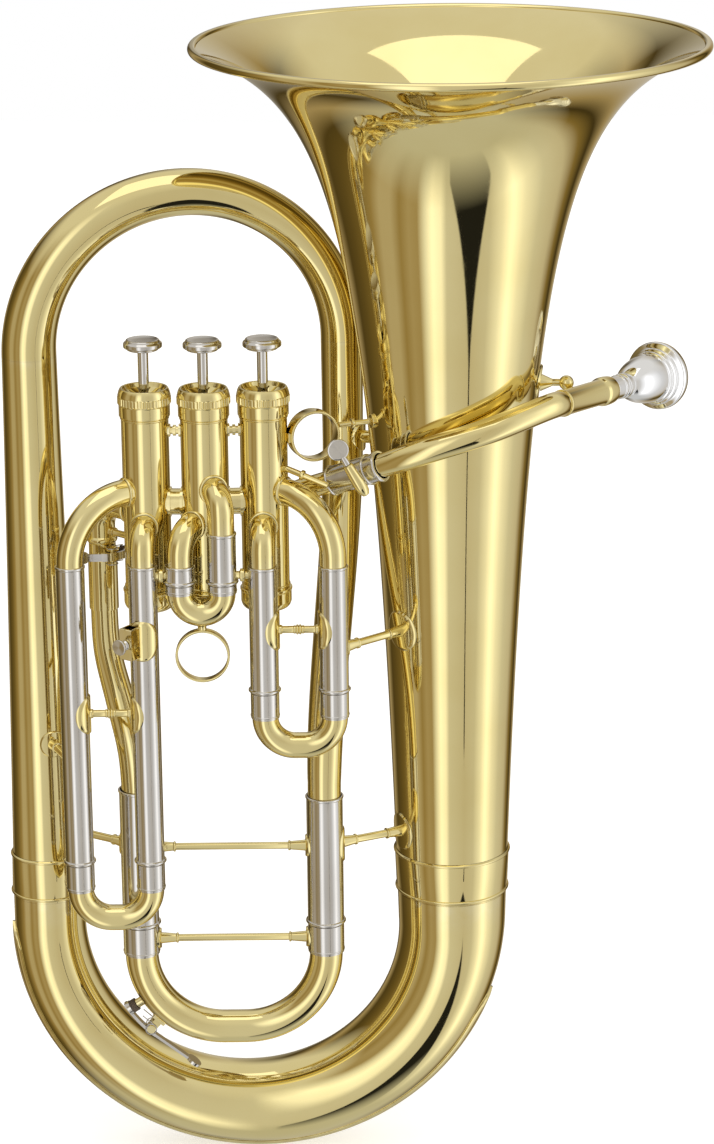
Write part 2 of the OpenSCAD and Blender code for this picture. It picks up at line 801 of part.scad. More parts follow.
// ---------- braces ----------
module centre_bead(from_x, to_x, z) {
    translate([(from_x + to_x)/2 - 1.2, slide_y, z]) rotate([0, 90, 0]) {
        cylinder(r = 2.8, h = 2.4);
        translate([0, 0, -1.6]) cylinder(r = 2.3, h = 5.6);
    }
}

module sleeve_braces() {
    plates = 11.5;
    color(BRASS) {
        for (pair = [[SLIDE_3, 284.6], [SLIDE_1, 331.7]]) {
            s = pair[0];
            level_brace(pair[1], [s[0], slide_y, sleeve_r, 0], [s[1], slide_y, sleeve_r, 0],
                2, plates, 1.5, 2.6, 0.8);
            centre_bead(s[0], s[1], pair[1]);
        }
        level_brace(198, [main_left_x, main_y, main_sleeve_r, 0],
            [main_right_x, main_y, main_sleeve_r, 0], 2, 6.5, 10, 3.2);
        for (pair = [[SLIDE_3[1], SLIDE_2[0]], [SLIDE_2[1], SLIDE_1[0]]]) {
            gap = pair[1] - pair[0] - 2*sleeve_r;
            translate([pair[0] + sleeve_r, slide_y, 363]) rotate([0, 90, 0])
                difference() {
                    union() {
                        cylinder(r = 2.2, h = gap);
                        translate([0, 0, gap/2 - 1.3]) cylinder(r = 3.6, h = 2.6);
                    }
                    for (d = [-sleeve_r, gap + sleeve_r])
                        translate([0, 0, d]) rotate([0, 90, 0])
                            cylinder(r = sleeve_r + skin, h = 20, center = true);
                }
        }
    }
}

bell_lean = 0.045;    // taper of the bell where the braces meet it
module body_braces() {
    color(BRASS) {
        level_brace(198, [main_right_x, main_y, main_sleeve_r, 0],
            [0, 0, bell_r(198) + 0.2, bell_lean], 2.2, 11, 9);
        level_brace(320, [SLIDE_1[1], slide_y, sleeve_r, 0],
            [0, 0, bell_r(320) + 0.2, 0.06], 2.2, 11.5, 9, near_r = 5.8);
        level_brace(253, [-branch_x, 0, branch_r(253) + 0.2, -0.018],
            [SLIDE_3[0], slide_y, sleeve_r, 0], 2.2, 8, 7);
        level_brace(199, [-branch_x, 0, branch_r(199) + 0.2, -0.018],
            [main_left_x, main_y, main_sleeve_r, 0], 2.2, 7.5, 7);
        level_brace(375.4, [crook_leg[0], crook_leg[1], 7.6, 0],
            [VALVES[2][0], VALVES[2][1], casing_r, 0], 1.9, 2.7, 2.5, 2.4);
        branch_brace();
        ring_brace();
        lead_brace();
        receiver_brace();
    }
}

// Short strut between the inner branch and the bell
module branch_brace() {
    z = 419;
    from = inner_at(z);
    turn = atan2(-from[1], -from[0]);
    reach = norm([from[0], from[1]]);
    difference() {
        translate([from[0], from[1], z]) facing(turn) {
            translate([0, 0, 11.6]) cylinder(r = 9, h = 1.4);
            cylinder(r = 3.6, h = reach);
        }
        along(inner_at(z - 20), inner_at(z + 20)) cylinder(r = 12.1, h = 44);
        translate([0, 0, z - 20])
            cylinder(r1 = bell_r(z - 20) + 0.4, r2 = bell_r(z + 20) + 0.4, h = 40);
    }
}

// Rod from the thumb ring's outside to the bell, with a bead on it
module ring_brace() {
    from = [-61.4, -25.5];
    z = 438;
    reach = norm(from);
    difference() {
        translate([from[0], from[1], z]) facing(atan2(-from[1], -from[0])) {
            cylinder(r = 1.5, h = reach);
            translate([0, 0, 7]) cylinder(r = 2.7, h = 2);
            translate([0, 0, reach - bell_r(z) - 1.8]) cylinder(r = 4, h = 8);
        }
        translate([0, 0, z - 10])
            cylinder(r1 = bell_r(z - 10) + 0.4, r2 = bell_r(z + 10) + 0.4, h = 20);
    }
}

// Rod from the first valve's casing to the leadpipe's sleeve
module lead_brace() {
    from = [VALVES[0][0], VALVES[0][1], 421];
    to = [-67.5, -43.7, 409];
    difference() {
        along(from, to) {
            cylinder(r = 1.7, h = norm(to - from));
            translate([0, 0, 22]) cylinder(r = 2.8, h = 2);
        }
        at_valve(0) cylinder(r = casing_r + skin, h = bell_height);
    }
}

// Strut from the bell to the back of the receiver, with a round head
module receiver_brace() {
    z = 455;
    turn = -4;
    translate([0, 0, z]) {
        saddle(bell_r(z) + 0.3, 0.9, 10, turn, 0.135);
        facing(turn) translate([0, 0, bell_r(z) + 0.8]) {
            cylinder(r1 = 5, r2 = 2.2, h = 6);
            cylinder(r = 2, h = 12);
        }
    }
    translate([63, -5, z]) sphere(r = 4.1);
}

// ---------- leadpipe, receiver and mouthpiece ----------
LEAD_POINTS = [
    [-108, -36, 391], [-92.5, -22.5, 397], [-66, -33, 408.5], [-38, -49, 421.5],
    [-10, -57.5, 433], [20, -55, 442], receiver_at - 14*aim(), receiver_at,
    receiver_at + 8*aim(), receiver_at + 16*aim()
];
lead_rings = 32;
LEAD_PATH = [for (k = [0:lead_rings])
    curve_point(LEAD_POINTS, (len(LEAD_POINTS) - 3)*k/lead_rings)];
lead_start_r = 6.2;
module leadpipe() {
    color(BRASS)
        difference() {
            swept_tube(LEAD_PATH,
                [for (k = [0:lead_rings]) let(t = k/lead_rings)
                    t > 0.84 ? 6.2 : mix(lead_start_r, pipe_r, ease(8*(t - 0.28)))],
                0.7, 28, [0, 0, 1]);
            at_valve(0) cylinder(r = casing_r + skin, h = bell_height);
        }
}

// Places children at a point, with +Z along the line towards a second point
module along(from, to) {
    d = to - from;
    translate(from) rotate([0, acos(d[2]/norm(d)), atan2(d[1], d[0])]) children();
}

module along_receiver() {
    along(receiver_at, receiver_at + aim()) children();
}

sleeve_from = [-65, -33.4, 408.9];
sleeve_to = [-38.5, -48.8, 421.3];
module leadpipe_sleeve() {
    inner = pipe_r + 0.15;
    outer = inner + 0.75;
    length = norm(sleeve_to - sleeve_from);
    color(NICKEL)
        along(sleeve_from, sleeve_to) {
            tube(outer, inner, length);
            bead(outer + 0.5, inner, 1.4);
            translate([0, 0, length - 9]) bead(outer + 0.6, inner, 1.6);
            translate([0, 0, length - 1.8]) bead(outer + 0.8, inner, 1.8);
        }
}

// Barrel on the leadpipe sleeve, and the thumb screw that turns in it
post_at = [-46.8, -54.3, 406.6];
post_up = [-0.5, -0.08, 0.86];
post_len = 20;
screw_bore = 1.5;
module screw_post() {
    color(BRASS)
        along(post_at, post_at + post_up)
            difference() {
                rotate_extrude()
                    polygon([
                        [0, 0], [1.8, 0.2], [2.9, 2.2], [3.6, 5.5], [3.7, 8.5], [3.4, 13],
                        [2.7, post_len - 0.4], [2.3, post_len], [0, post_len]
                    ]);
                translate([0, 0, 5]) cylinder(r = screw_bore + running_gap, h = post_len);
            }
}

module post_screw() {
    head = 10;
    color(NICKEL)
        along(post_at, post_at + post_up) {
            translate([0, 0, 5.5]) cylinder(r = screw_bore, h = post_len - 5);
            translate([0, 0, post_len + 0.3]) cylinder(r1 = 2.2, r2 = 1.7, h = head - 5);
            translate([0, 0, post_len + head])
                rotate([90, 0, 0]) translate([0, 0, -1.1])
                    rotate_extrude()
                        polygon([[0, 0.1], [5, 0], [6, 0.6], [6, 1.6], [5, 2.2], [0, 2.1]]);
        }
}

// Socket radius of the receiver, at its mouth and at its inner end
socket_mouth = 6;
socket_deep = 5.3;
socket_len = 27;
module receiver() {
    color(BRASS)
        along_receiver()
            difference() {
                rotate_extrude()
                    polygon([
                        [0, 0], [7.25, 0], [7.5, 0.4], [7.5, 1.6], [7.1, 2], [7, 36], [7.2, 38],
                        [7.9, 39.5], [8.1, 41], [8, 45], [7.7, receiver_len - 1.4],
                        [7.2, receiver_len - 0.4], [6.6, receiver_len], [0, receiver_len]
                    ]);
                translate([0, 0, -1]) cylinder(r = 6.5, h = 13);
                translate([0, 0, 11]) cylinder(r = 4.6, h = receiver_len);
                translate([0, 0, receiver_len - socket_len])
                    cylinder(r1 = socket_deep, r2 = socket_mouth, h = socket_len + 0.01);
            }
}

// Mouthpiece profile along its own axis; 0 is level with the receiver's mouth
module mouthpiece() {
    tip = -25;
    cup_z = 17;
    top = 54;
    throat = 3.3;
    color(SILVER)
        along_receiver()
            translate([0, 0, receiver_len + 0.4])
                rotate_extrude($fn = 72)
                    polygon(concat(
                        [[4.3, tip], [socket_deep - 0.05, tip], [socket_mouth - 0.05, 0], [6.4, 0.6],
                            [6.4, 7], [6.9, 7.5], [6.9, 8.8], [6.3, 9.4], [6.3, 11], [7.1, 11.6],
                            [7.1, 13.4], [6.2, 14.4], [6.3, 16.5]],
                        [for (t = [0:0.125:1]) [6.3 + 7.2*sin(90*t), cup_z + 22*pow(t, 1.35)]],
                        [[13.5, 41], [14.6, 41.5], [14.8, 42.5], [14.2, 43.3], [14.5, 44],
                            [15.9, 44.6], [16.2, 45.8], [15.9, 46.8], [17, 47.3], [18.7, 48],
                            [mouth_rim_r, 49.2],
                            [mouth_rim_r, 51], [18.6, 52.8], [17.2, 53.7], [15.8, top], [14.4, 53.7],
                            [13.4, 52.8], [cup_r, 51.4]],
                        [for (t = [0.15:0.17:0.99])
                            [throat + (cup_r - 0.6 - throat)*sqrt(1 - t), mix(51, 20, t)]],
                        [[throat, 19], [throat, 14]]
                    ));
}

// ---------- fittings ----------
lyre_turn = 234;      // side of the third slide's inner sleeve that carries the socket
lyre_z = 328;
lyre_out = 11.8;      // distance of the slot from the sleeve's axis
lyre_box = 8.2;
lyre_tall = 17.5;
lyre_slot = 5.8;
module at_lyre() {
    translate([SLIDE_3[1], slide_y, lyre_z]) rotate([0, 0, lyre_turn]) children();
}

module lyre_socket() {
    color(BRASS) {
        translate([SLIDE_3[1], slide_y, lyre_z]) saddle(sleeve_r + skin, 0.9, 11.5, 262);
        at_lyre()
            difference() {
                translate([lyre_out - lyre_box/2, -lyre_box/2, -lyre_tall/2])
                    cube([lyre_box, lyre_box, lyre_tall]);
                translate([lyre_out - lyre_slot/2, -lyre_slot/2, -lyre_tall])
                    cube([lyre_slot, lyre_slot, 2*lyre_tall]);
                translate([lyre_out, 0, 0]) rotate([0, 90, 0])
                    cylinder(r = screw_bore + running_gap, h = lyre_box);
                translate([0, 0, -lyre_tall]) cylinder(r = sleeve_r + skin, h = 2*lyre_tall);
            }
    }
}

module lyre_screw() {
    color(NICKEL)
        at_lyre() rotate([0, 90, 0]) {
            translate([0, 0, lyre_out + lyre_slot/2 + 0.1]) cylinder(r = screw_bore, h = 6);
            translate([0, 0, lyre_out + lyre_box/2 + 0.3])
                rotate_extrude()
                    polygon([
                        [0, 0], [2.6, 0], [3, 0.6], [2.2, 1.6], [2.2, 3], [3, 3.8],
                        [4.1, 4.1], [4.4, 4.5], [4.4, 5.5], [4.1, 5.8], [3.4, 5.7], [0, 5.3]
                    ]);
        }
}

thumb_at = [-75.2, -30.5, 434];
thumb_r = 14;
module thumb_ring() {
    wide = 9;
    color(BRASS)
        difference() {
            translate(thumb_at) rotate([0, 0, 20]) {
                rotate([90, 0, 0]) translate([0, 0, -wide/2]) tube(thumb_r, thumb_r - 1.4, wide);
                translate([-thumb_r - 1.2, -3, -2.5]) cube([1.8, 6, 5]);
            }
            at_valve(0) cylinder(r = casing_r + skin, h = bell_height);
        }
}

// ---------- water keys ----------
// Main slide: angles round the centre of the bow's left bend
key_c = [main_left_x + main_bend, main_y, main_band_low];
cork_turn = 212.5;
hinge_turn = 227.5;
hinge_out = main_bend + main_r + 6.6;
cork_len = 3;
nipple_len = 3.6;

module at_turn(a) {
    translate(key_c) rotate([0, -a, 0]) children();
}

module main_key_saddle() {
    color(BRASS)
        difference() {
            union() {
                at_turn(cork_turn) translate([main_bend + main_r - 1, 0, 0]) rotate([0, 90, 0])
                    tube(2.6, 1.4, nipple_len + 1);
                at_turn(hinge_turn) {
                    translate([main_bend + main_r - 1.5, -4, -4]) cube([2.3, 8, 8]);
                    for (y = [-4, 2.4])
                        translate([main_bend + main_r - 1, y, -2.2]) cube([7.6, 1.6, 4.4]);
                    translate([hinge_out, 0, 0]) rotate([90, 0, 0])
                        cylinder(r = 1.2, h = 9.6, center = true);
                    translate([hinge_out, -4, 0]) rotate([90, 0, 0]) cylinder(r = 2.4, h = 0.9);
                }
            }
            translate(key_c) rotate([90, 0, 0])
                rotate_extrude($fn = 144)
                    translate([main_bend, 0]) circle(r = main_r + skin, $fn = 96);
        }
}

lever_in = hinge_out + 1.6;
lever_thick = 1.7;
tail_turn = 232;
module main_key_lever() {
    half = 2.2;
    tail = 27;
    color(NICKEL)
        difference() {
            union() {
                translate(key_c) rotate([90, 0, 0]) rotate([0, 0, cork_turn - 3.5])
                    rotate_extrude(angle = tail_turn - cork_turn + 3.5)
                        translate([lever_in, -half]) square([lever_thick, 2*half]);
                at_turn(tail_turn) translate([lever_in, 0, 0]) {
                    translate([0.1, 0.1 - half, -1]) cube([lever_thick - 0.2, 2*half - 0.2, tail + 1]);
                    translate([0, 0, tail]) rotate([0, 90, 0]) cylinder(r = 4.6, h = lever_thick);
                }
                at_turn(hinge_turn) translate([hinge_out, 0, 0]) rotate([90, 0, 0])
                    cylinder(r = 2.6, h = 2*half - 0.2, center = true);
                at_turn(cork_turn) translate([lever_in - 1.1, 0, 0]) rotate([0, 90, 0])
                    cylinder(r = 4, h = 2);
            }
            at_turn(hinge_turn) translate([hinge_out, 0, 0]) rotate([90, 0, 0])
                cylinder(r = 1.2 + running_gap, h = 20, center = true);
        }
}

module main_key_cork() {
    seat = main_bend + main_r + nipple_len + 0.1;
    color(CORK)
        at_turn(cork_turn) translate([seat, 0, 0]) rotate([0, 90, 0])
            cylinder(r = 3.7, h = lever_in - 1.15 - seat);
}

// Pair of open coils round a hinge along Y; each ends at the angle last
coil_r = 3.1;
spring_wire_r = 0.3;
module wire_coils(gap, last) {
    turn = 340;
    for (y = [-gap/2, gap/2])
        translate([0, y, 0]) rotate([90, 0, 0]) rotate([0, 0, last - turn])
            rotate_extrude(angle = turn)
                translate([coil_r, 0]) circle(r = spring_wire_r);
}

module main_key_spring() {
    gap = 8.9;
    reach = 9;
    color(STEEL)
        at_turn(hinge_turn)
            translate([hinge_out, 0, 0]) {
                wire_coils(gap, 180);
                for (y = [-gap/2, gap/2])
                    translate([-coil_r, y, -reach]) cylinder(r = spring_wire_r, h = reach);
            }
}

// Crook key: it lies level round the front of the crook's upper leg
crook_key_z = 363.5;
pad_turn = -14;
pivot_turn = -62;
pivot_out = crook_r + 5.4;
touch_in = pivot_out + 1.5;
nipple_out = crook_r + 2.7;
module at_leg(a) {
    translate([crook_leg[0], crook_leg[1], crook_key_z]) rotate([0, 0, a]) children();
}

module crook_key_saddle() {
    ear = 1.5;
    color(BRASS)
        difference() {
            union() {
                at_leg(pad_turn) translate([crook_r - 1, 0, 0]) rotate([0, 90, 0])
                    tube(2.4, 1.3, nipple_out - crook_r + 1);
                at_leg(pivot_turn) {
                    translate([crook_r - 1, -3.2, -4]) cube([2, 6.4, 8]);
                    for (z = [-4, 4 - ear])
                        translate([crook_r - 0.5, -2.2, z]) cube([pivot_out - crook_r + 0.5, 4.4, ear]);
                    translate([pivot_out, 0, 0]) cylinder(r = 1.2, h = 9.6, center = true);
                    translate([pivot_out, 0, 4.02]) cylinder(r = 2.4, h = 0.9);
                }
            }
            translate([crook_leg[0], crook_leg[1], 300]) cylinder(r = crook_r + skin, h = 100);
        }
}

module crook_key_lever() {
    half = 2.2;
    thick = 1.4;
    touch = 9.5;
    color(NICKEL)
        difference() {
            union() {
                at_leg(-88)
                    rotate_extrude(angle = 84)
                        translate([touch_in, -half]) square([thick, 2*half]);
                at_leg(0) {
                    translate([-touch, -touch_in - thick + 0.1, 0.1 - half])
                        cube([touch + 1.5, thick - 0.2, 2*half - 0.2]);
                    translate([-touch, -touch_in, 0]) rotate([90, 0, 0]) cylinder(r = 3.4, h = thick);
                }
                at_leg(pivot_turn) translate([pivot_out, 0, 0])
                    cylinder(r = 2.6, h = 2*half - 0.2, center = true);
                at_leg(pad_turn) translate([touch_in - 1, 0, 0]) rotate([0, 90, 0])
                    cylinder(r = 3.5, h = 1.8);
            }
            at_leg(pivot_turn) translate([pivot_out, 0, 0])
                cylinder(r = 1.2 + running_gap, h = 20, center = true);
        }
}

module crook_key_cork() {
    seat = nipple_out + 0.1;
    color(CORK)
        at_leg(pad_turn) translate([seat, 0, 0]) rotate([0, 90, 0])
            cylinder(r = 3.2, h = touch_in - 1.05 - seat);
}

module crook_key_spring() {
    gap = 8.9;
    reach = 8;
    color(STEEL)
        at_leg(pivot_turn) translate([pivot_out, 0, 0]) rotate([90, 0, 0]) {
            wire_coils(gap, 180);
            for (y = [-gap/2, gap/2])
                translate([-coil_r, y, -reach]) cylinder(r = spring_wire_r, h = reach);
        }
}

bell();
rim_wire();
ferrules();
bottom_bow();
bow_guard();
outer_branch();
top_bow();
inner_branch();
valve_crook();
main_sleeves();
main_legs();
main_bow();
main_slide_brace();
casing(0);  // casing_1
casing(1);  // casing_2
casing(2);  // casing_3
top_caps();
bottom_caps();
bumper_felts();
piston(0);  // piston_1
piston(1);  // piston_2
piston(2);  // piston_3
stem(0);  // stem_1
stem(1);  // stem_2
stem(2);  // stem_3
button(0);  // button_1
button(1);  // button_2
button(2);  // button_3
spring(0);  // spring_1
spring(1);  // spring_2
spring(2);  // spring_3
slide_sleeves();
slide_crooks();
slide_legs(SLIDE_1);  // slide_1_legs
slide_legs(SLIDE_2);  // slide_2_legs
slide_legs(SLIDE_3);  // slide_3_legs
valve_bow(SLIDE_1);  // slide_1_bow
valve_bow(SLIDE_2);  // slide_2_bow
valve_bow(SLIDE_3);  // slide_3_bow
pull_ring();
sleeve_braces();
body_braces();
valve_knuckles();
leadpipe();
leadpipe_sleeve();
screw_post();
post_screw();
receiver();
mouthpiece();
lyre_socket();
lyre_screw();
thumb_ring();
main_key_saddle();
main_key_lever();
main_key_cork();
main_key_spring();
crook_key_saddle();
crook_key_lever();
crook_key_cork();
crook_key_spring();
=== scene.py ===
import json
from math import atan2, cos, degrees, hypot, pi, radians, sin, sqrt

import bpy
from mathutils import Matrix, Vector, noise


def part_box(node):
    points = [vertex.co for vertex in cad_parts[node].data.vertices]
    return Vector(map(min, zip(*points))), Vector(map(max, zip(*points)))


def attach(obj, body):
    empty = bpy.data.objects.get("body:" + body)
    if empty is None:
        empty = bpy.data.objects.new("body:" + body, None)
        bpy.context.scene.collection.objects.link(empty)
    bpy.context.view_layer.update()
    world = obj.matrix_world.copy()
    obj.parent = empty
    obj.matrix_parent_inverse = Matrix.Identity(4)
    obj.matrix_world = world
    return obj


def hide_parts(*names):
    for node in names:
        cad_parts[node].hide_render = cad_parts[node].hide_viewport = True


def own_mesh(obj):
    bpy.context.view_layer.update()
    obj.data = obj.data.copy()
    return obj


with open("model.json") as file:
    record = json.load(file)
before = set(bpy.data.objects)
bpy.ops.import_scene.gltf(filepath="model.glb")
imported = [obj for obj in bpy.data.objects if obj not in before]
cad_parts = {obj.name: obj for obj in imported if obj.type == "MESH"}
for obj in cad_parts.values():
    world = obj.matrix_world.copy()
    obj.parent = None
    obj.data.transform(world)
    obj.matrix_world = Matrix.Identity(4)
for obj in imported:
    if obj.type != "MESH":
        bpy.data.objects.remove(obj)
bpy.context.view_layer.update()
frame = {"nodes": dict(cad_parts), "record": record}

# A shape is (corners in millimetres, faces); the CAD model is in metres.
MM = 0.001


# ---------- places taken from the CAD model ----------
def edges(node):
    """Lowest and highest corner of a CAD node, in millimetres"""
    low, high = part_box(node)
    return Vector(low) / MM, Vector(high) / MM


def middle(node):
    low, high = edges(node)
    return (low + high) / 2


def mix(a, b, t):
    return a + (b - a) * t


def ease(t):
    t = max(0.0, min(1.0, t))
    return t * t * (3 - 2 * t)


def spread(low, high, steps):
    return [mix(low, high, k / steps) for k in range(steps + 1)]


# ---------- shapes ----------
def join(*shapes):
    corners, faces = [], []
    for shape in shapes:
        start = len(corners)
        corners += shape[0]
        faces += [tuple(i + start for i in face) for face in shape[1]]
    return corners, faces


def at(x, y, z=0.0):
    return Matrix.Translation((x, y, z))


def aimed(point, direction):
    """Puts +Z along a direction, with its start at a point"""
    turn = Vector(direction).to_track_quat("Z", "Y").to_matrix().to_4x4()
    return Matrix.Translation(point) @ turn


def level(point, angle):
    """Puts +Z level, at an angle in degrees from +X, with +X pointing down"""
    a = radians(angle)
    out = Vector((cos(a), sin(a), 0))
    down = Vector((0, 0, -1))
    side = out.cross(down)
    turn = Matrix((down, side, out)).transposed().to_4x4()
    return Matrix.Translation(point) @ turn


def grid(rows, ring=True, chain=False):
    """Skin through rows of points; ring closes each row, chain closes the rows on themselves"""
    n, m = len(rows[0]), len(rows)
    corners = [Vector(p) for row in rows for p in row]
    faces = []
    for i in range(m if chain else m - 1):
        for k in range(n if ring else n - 1):
            a, b = i * n + k, i * n + (k + 1) % n
            c, d = ((i + 1) % m) * n + (k + 1) % n, ((i + 1) % m) * n + k
            faces.append((a, b, c, d))
    return corners, faces


def rounded(outline, radius=0.35, loop=False):
    """Outline with every sharp corner replaced by a small arc"""
    result = []
    count = len(outline)
    for i, point in enumerate(outline):
        if not loop and i in (0, count - 1):
            result.append(point)
            continue
        p = Vector(point)
        before, after = Vector(outline[i - 1]) - p, Vector(outline[(i + 1) % count]) - p
        if before.length < 1e-6 or after.length < 1e-6 or before.angle(-after) < 0.3:
            result.append(point)
            continue
        cut = min(radius, before.length * 0.42, after.length * 0.42)
        a, b = p + before.normalized() * cut, p + after.normalized() * cut
        for t in (0, 0.3, 0.7, 1):
            q = a * (1 - t) ** 2 + p * 2 * t * (1 - t) + b * t * t
            result.append((q.x, q.y))
    return result


def turned(outline, place=Matrix.Identity(4), sides=64, loop=False, soft=0.35, ripple=None):
    """Lathe work: (radius, height) points turned round +Z; ripple changes a radius by angle"""
    profile = rounded(outline, soft, loop) if soft else outline
    rows = []
    for r, z in profile:
        row = []
        for k in range(sides):
            a = 2 * pi * k / sides
            reach = max(r, 0.004) if ripple is None else max(ripple(r, z, a), 0.004)
            row.append(place @ Vector((reach * cos(a), reach * sin(a), z)))
        rows.append(row)
    return grid(rows, chain=loop)


def band(outer, inner, low, high, place=Matrix.Identity(4), sides=64, soft=0.35):
    return turned([(outer, low), (outer, high), (inner, high), (inner, low)], place, sides, True, soft)


def half_round(radius, low, high, steps=8):
    """Outline of a rolled bead standing out from a radius"""
    half = (high - low) / 2
    return [(radius + half * sin(pi * k / steps), low + half * (1 - cos(pi * k / steps)))
            for k in range(steps + 1)]


def heading(path, i):
    return (path[min(i + 1, len(path) - 1)] - path[max(i - 1, 0)]).normalized()


def drawn(path, radii, wall=0.8, sides=64, side_of=(0, 1, 0)):
    """Tube drawn along a path, its radii a list or one number. Without a wall it is a closed rod"""
    path = [Vector(p) for p in path]
    radii = radii if isinstance(radii, list) else [radii] * len(path)
    side_of = Vector(side_of)

    def ring(i, r):
        t = heading(path, i)
        u = t.cross(side_of).normalized()
        v = t.cross(u)
        return [path[i] + r * (cos(2 * pi * k / sides) * u + sin(2 * pi * k / sides) * v)
                for k in range(sides)]

    outer = [ring(i, r) for i, r in enumerate(radii)]
    if wall:
        inner = [ring(i, r - wall) for i, r in enumerate(radii)]
        return grid(outer + inner[::-1], chain=True)
    last = len(path) - 1
    return grid([ring(0, 0.01)] + outer + [ring(last, 0.01)])


def smooth_curve(points, stretches):
    """Even curve through points; the first and last point only steer it"""
    points = [Vector(p) for p in points]
    result = []
    count = len(points) - 3
    for k in range(stretches + 1):
        t = count * k / stretches
        i = min(int(t), count - 1)
        s = t - i
        a, b, c, d = points[i:i + 4]
        result.append(0.5 * (2 * b + (c - a) * s + (2 * a - 5 * b + 4 * c - d) * s * s
                             + (3 * b - a - 3 * c + d) * s ** 3))
    return result


def block(size, place, corner=0.4):
    """Filed block centred on its place, its corners rounded in plan and broken at both ends"""
    x, y, z = (s / 2 for s in size)
    plan = []
    for cx, cy, start in ((x, y, 0), (-x, y, 90), (-x, -y, 180), (x, -y, 270)):
        for a in (0, 22.5, 45, 67.5, 90):
            t = radians(start + a)
            plan.append(((cx - corner * (1 if cx > 0 else -1)) + corner * cos(t),
                         (cy - corner * (1 if cy > 0 else -1)) + corner * sin(t)))
    rows = []
    for height, shrink in ((-z, 1e9), (-z, corner * 0.7), (-z + corner * 0.3, corner * 0.2),
                           (-z + corner, 0), (z - corner, 0), (z - corner * 0.3, corner * 0.2),
                           (z, corner * 0.7), (z, 1e9)):
        rows.append([place @ Vector((px * max(0.001, 1 - shrink / x), py * max(0.001, 1 - shrink / y),
                                     height)) for px, py in plan])
    return grid(rows)


def patch(place, tube_r, thick, plate_r, angle, taper=0.0):
    """Round plate bent onto an upright tube, facing the angle; its edge is rounded off"""
    rings, around = 12, 48
    turn = radians(angle)

    def point(out, k, lift):
        a = 2 * pi * k / around
        across, z = out * cos(a), out * sin(a)
        r = tube_r + taper * z + lift
        bend = turn + across / r
        return place @ Vector((r * cos(bend), r * sin(bend), z))

    rows = []
    for j in range(rings + 1):
        t = j / rings
        rim = sqrt(max(0.0, 1 - max(0.0, (t - 0.88) / 0.12) ** 2))
        rows.append([point(max(0.02, plate_r * t), k, 0.02 + thick * rim) for k in range(around)])
    rows.append([point(plate_r, k, -0.1) for k in range(around)])
    return grid(rows)


# ---------- shader groups ----------
def group(name, inputs, outputs):
    tree = bpy.data.node_groups.new(name, "ShaderNodeTree")
    for label, kind, value in inputs:
        socket = tree.interface.new_socket(label, in_out="INPUT", socket_type=kind)
        socket.default_value = value
    for label, kind in outputs:
        tree.interface.new_socket(label, in_out="OUTPUT", socket_type=kind)
    return tree, tree.nodes.new("NodeGroupInput").outputs, tree.nodes.new("NodeGroupOutput").inputs


def node(tree, kind, settings=None, **sockets):
    """Adds a node; settings are its properties, the rest are sockets by name or by s0, s1 for place"""
    made = tree.nodes.new(kind)
    for key, value in (settings or {}).items():
        setattr(made, key, value)
    for key, value in sockets.items():
        place = int(key[1:]) if key[0] == "s" and key[1:].isdigit() else key.replace("_", " ")
        if isinstance(value, bpy.types.NodeSocket):
            tree.links.new(value, made.inputs[place])
        else:
            made.inputs[place].default_value = value
    return made


def blend_colour(tree, factor, a, b):
    return node(tree, "ShaderNodeMix", dict(data_type="RGBA"), s0=factor, s6=a, s7=b).outputs[2]


def maths(tree, kind, a, b=0.0):
    return node(tree, "ShaderNodeMath", dict(operation=kind), s0=a, s1=b).outputs[0]


def span(tree, value, low, high, to_low, to_high):
    return node(tree, "ShaderNodeMapRange", s0=value, s1=low, s2=high, s3=to_low, s4=to_high).outputs[0]


COLOUR, NUMBER = "NodeSocketColor", "NodeSocketFloat"


def make_polish():
    """Polished metal: slow drift of tone, handling smudges, fine wiping lines and a soft orange peel"""
    tree, given, out = group(
        "polish",
        [("Metal", COLOUR, (0.8, 0.8, 0.8, 1)), ("Deep Metal", COLOUR, (0.5, 0.5, 0.5, 1)),
         ("Drift", NUMBER, 0.3), ("Gloss", NUMBER, 0.08), ("Smudge", NUMBER, 0.06), ("Peel", NUMBER, 0.2)],
        [("Color", COLOUR), ("Roughness", NUMBER), ("Height", NUMBER)])
    spot = tree.nodes.new("ShaderNodeTexCoord").outputs["Object"]
    slow = node(tree, "ShaderNodeTexNoise", Vector=spot, Scale=22.0, Detail=3.0, Roughness=0.5)
    tone = span(tree, slow.outputs[0], 0.35, 0.7, 0.0, 1.0)
    amount = maths(tree, "MULTIPLY", tone, given["Drift"])
    colour = blend_colour(tree, amount, given["Metal"], given["Deep Metal"])
    touch = node(tree, "ShaderNodeTexNoise", Vector=spot, Scale=70.0, Detail=5.0, Roughness=0.62)
    marks = span(tree, touch.outputs[0], 0.5, 0.75, 0.0, 1.0)
    stretched = node(tree, "ShaderNodeMapping", Vector=spot, Scale=(900.0, 900.0, 60.0))
    wiped = node(tree, "ShaderNodeTexNoise", Vector=stretched.outputs[0], Scale=1.0, Detail=2.0)
    lines = span(tree, wiped.outputs[0], 0.52, 0.8, 0.0, 0.4)
    worn = maths(tree, "MULTIPLY", maths(tree, "ADD", marks, lines), given["Smudge"])
    rough = maths(tree, "ADD", given["Gloss"], worn)
    peel = node(tree, "ShaderNodeTexNoise", Vector=spot, Scale=420.0, Detail=1.0)
    height = maths(tree, "MULTIPLY", peel.outputs[0], given["Peel"])
    for made, label in ((colour, "Color"), (rough, "Roughness"), (height, "Height")):
        tree.links.new(made, out[label])
    return tree


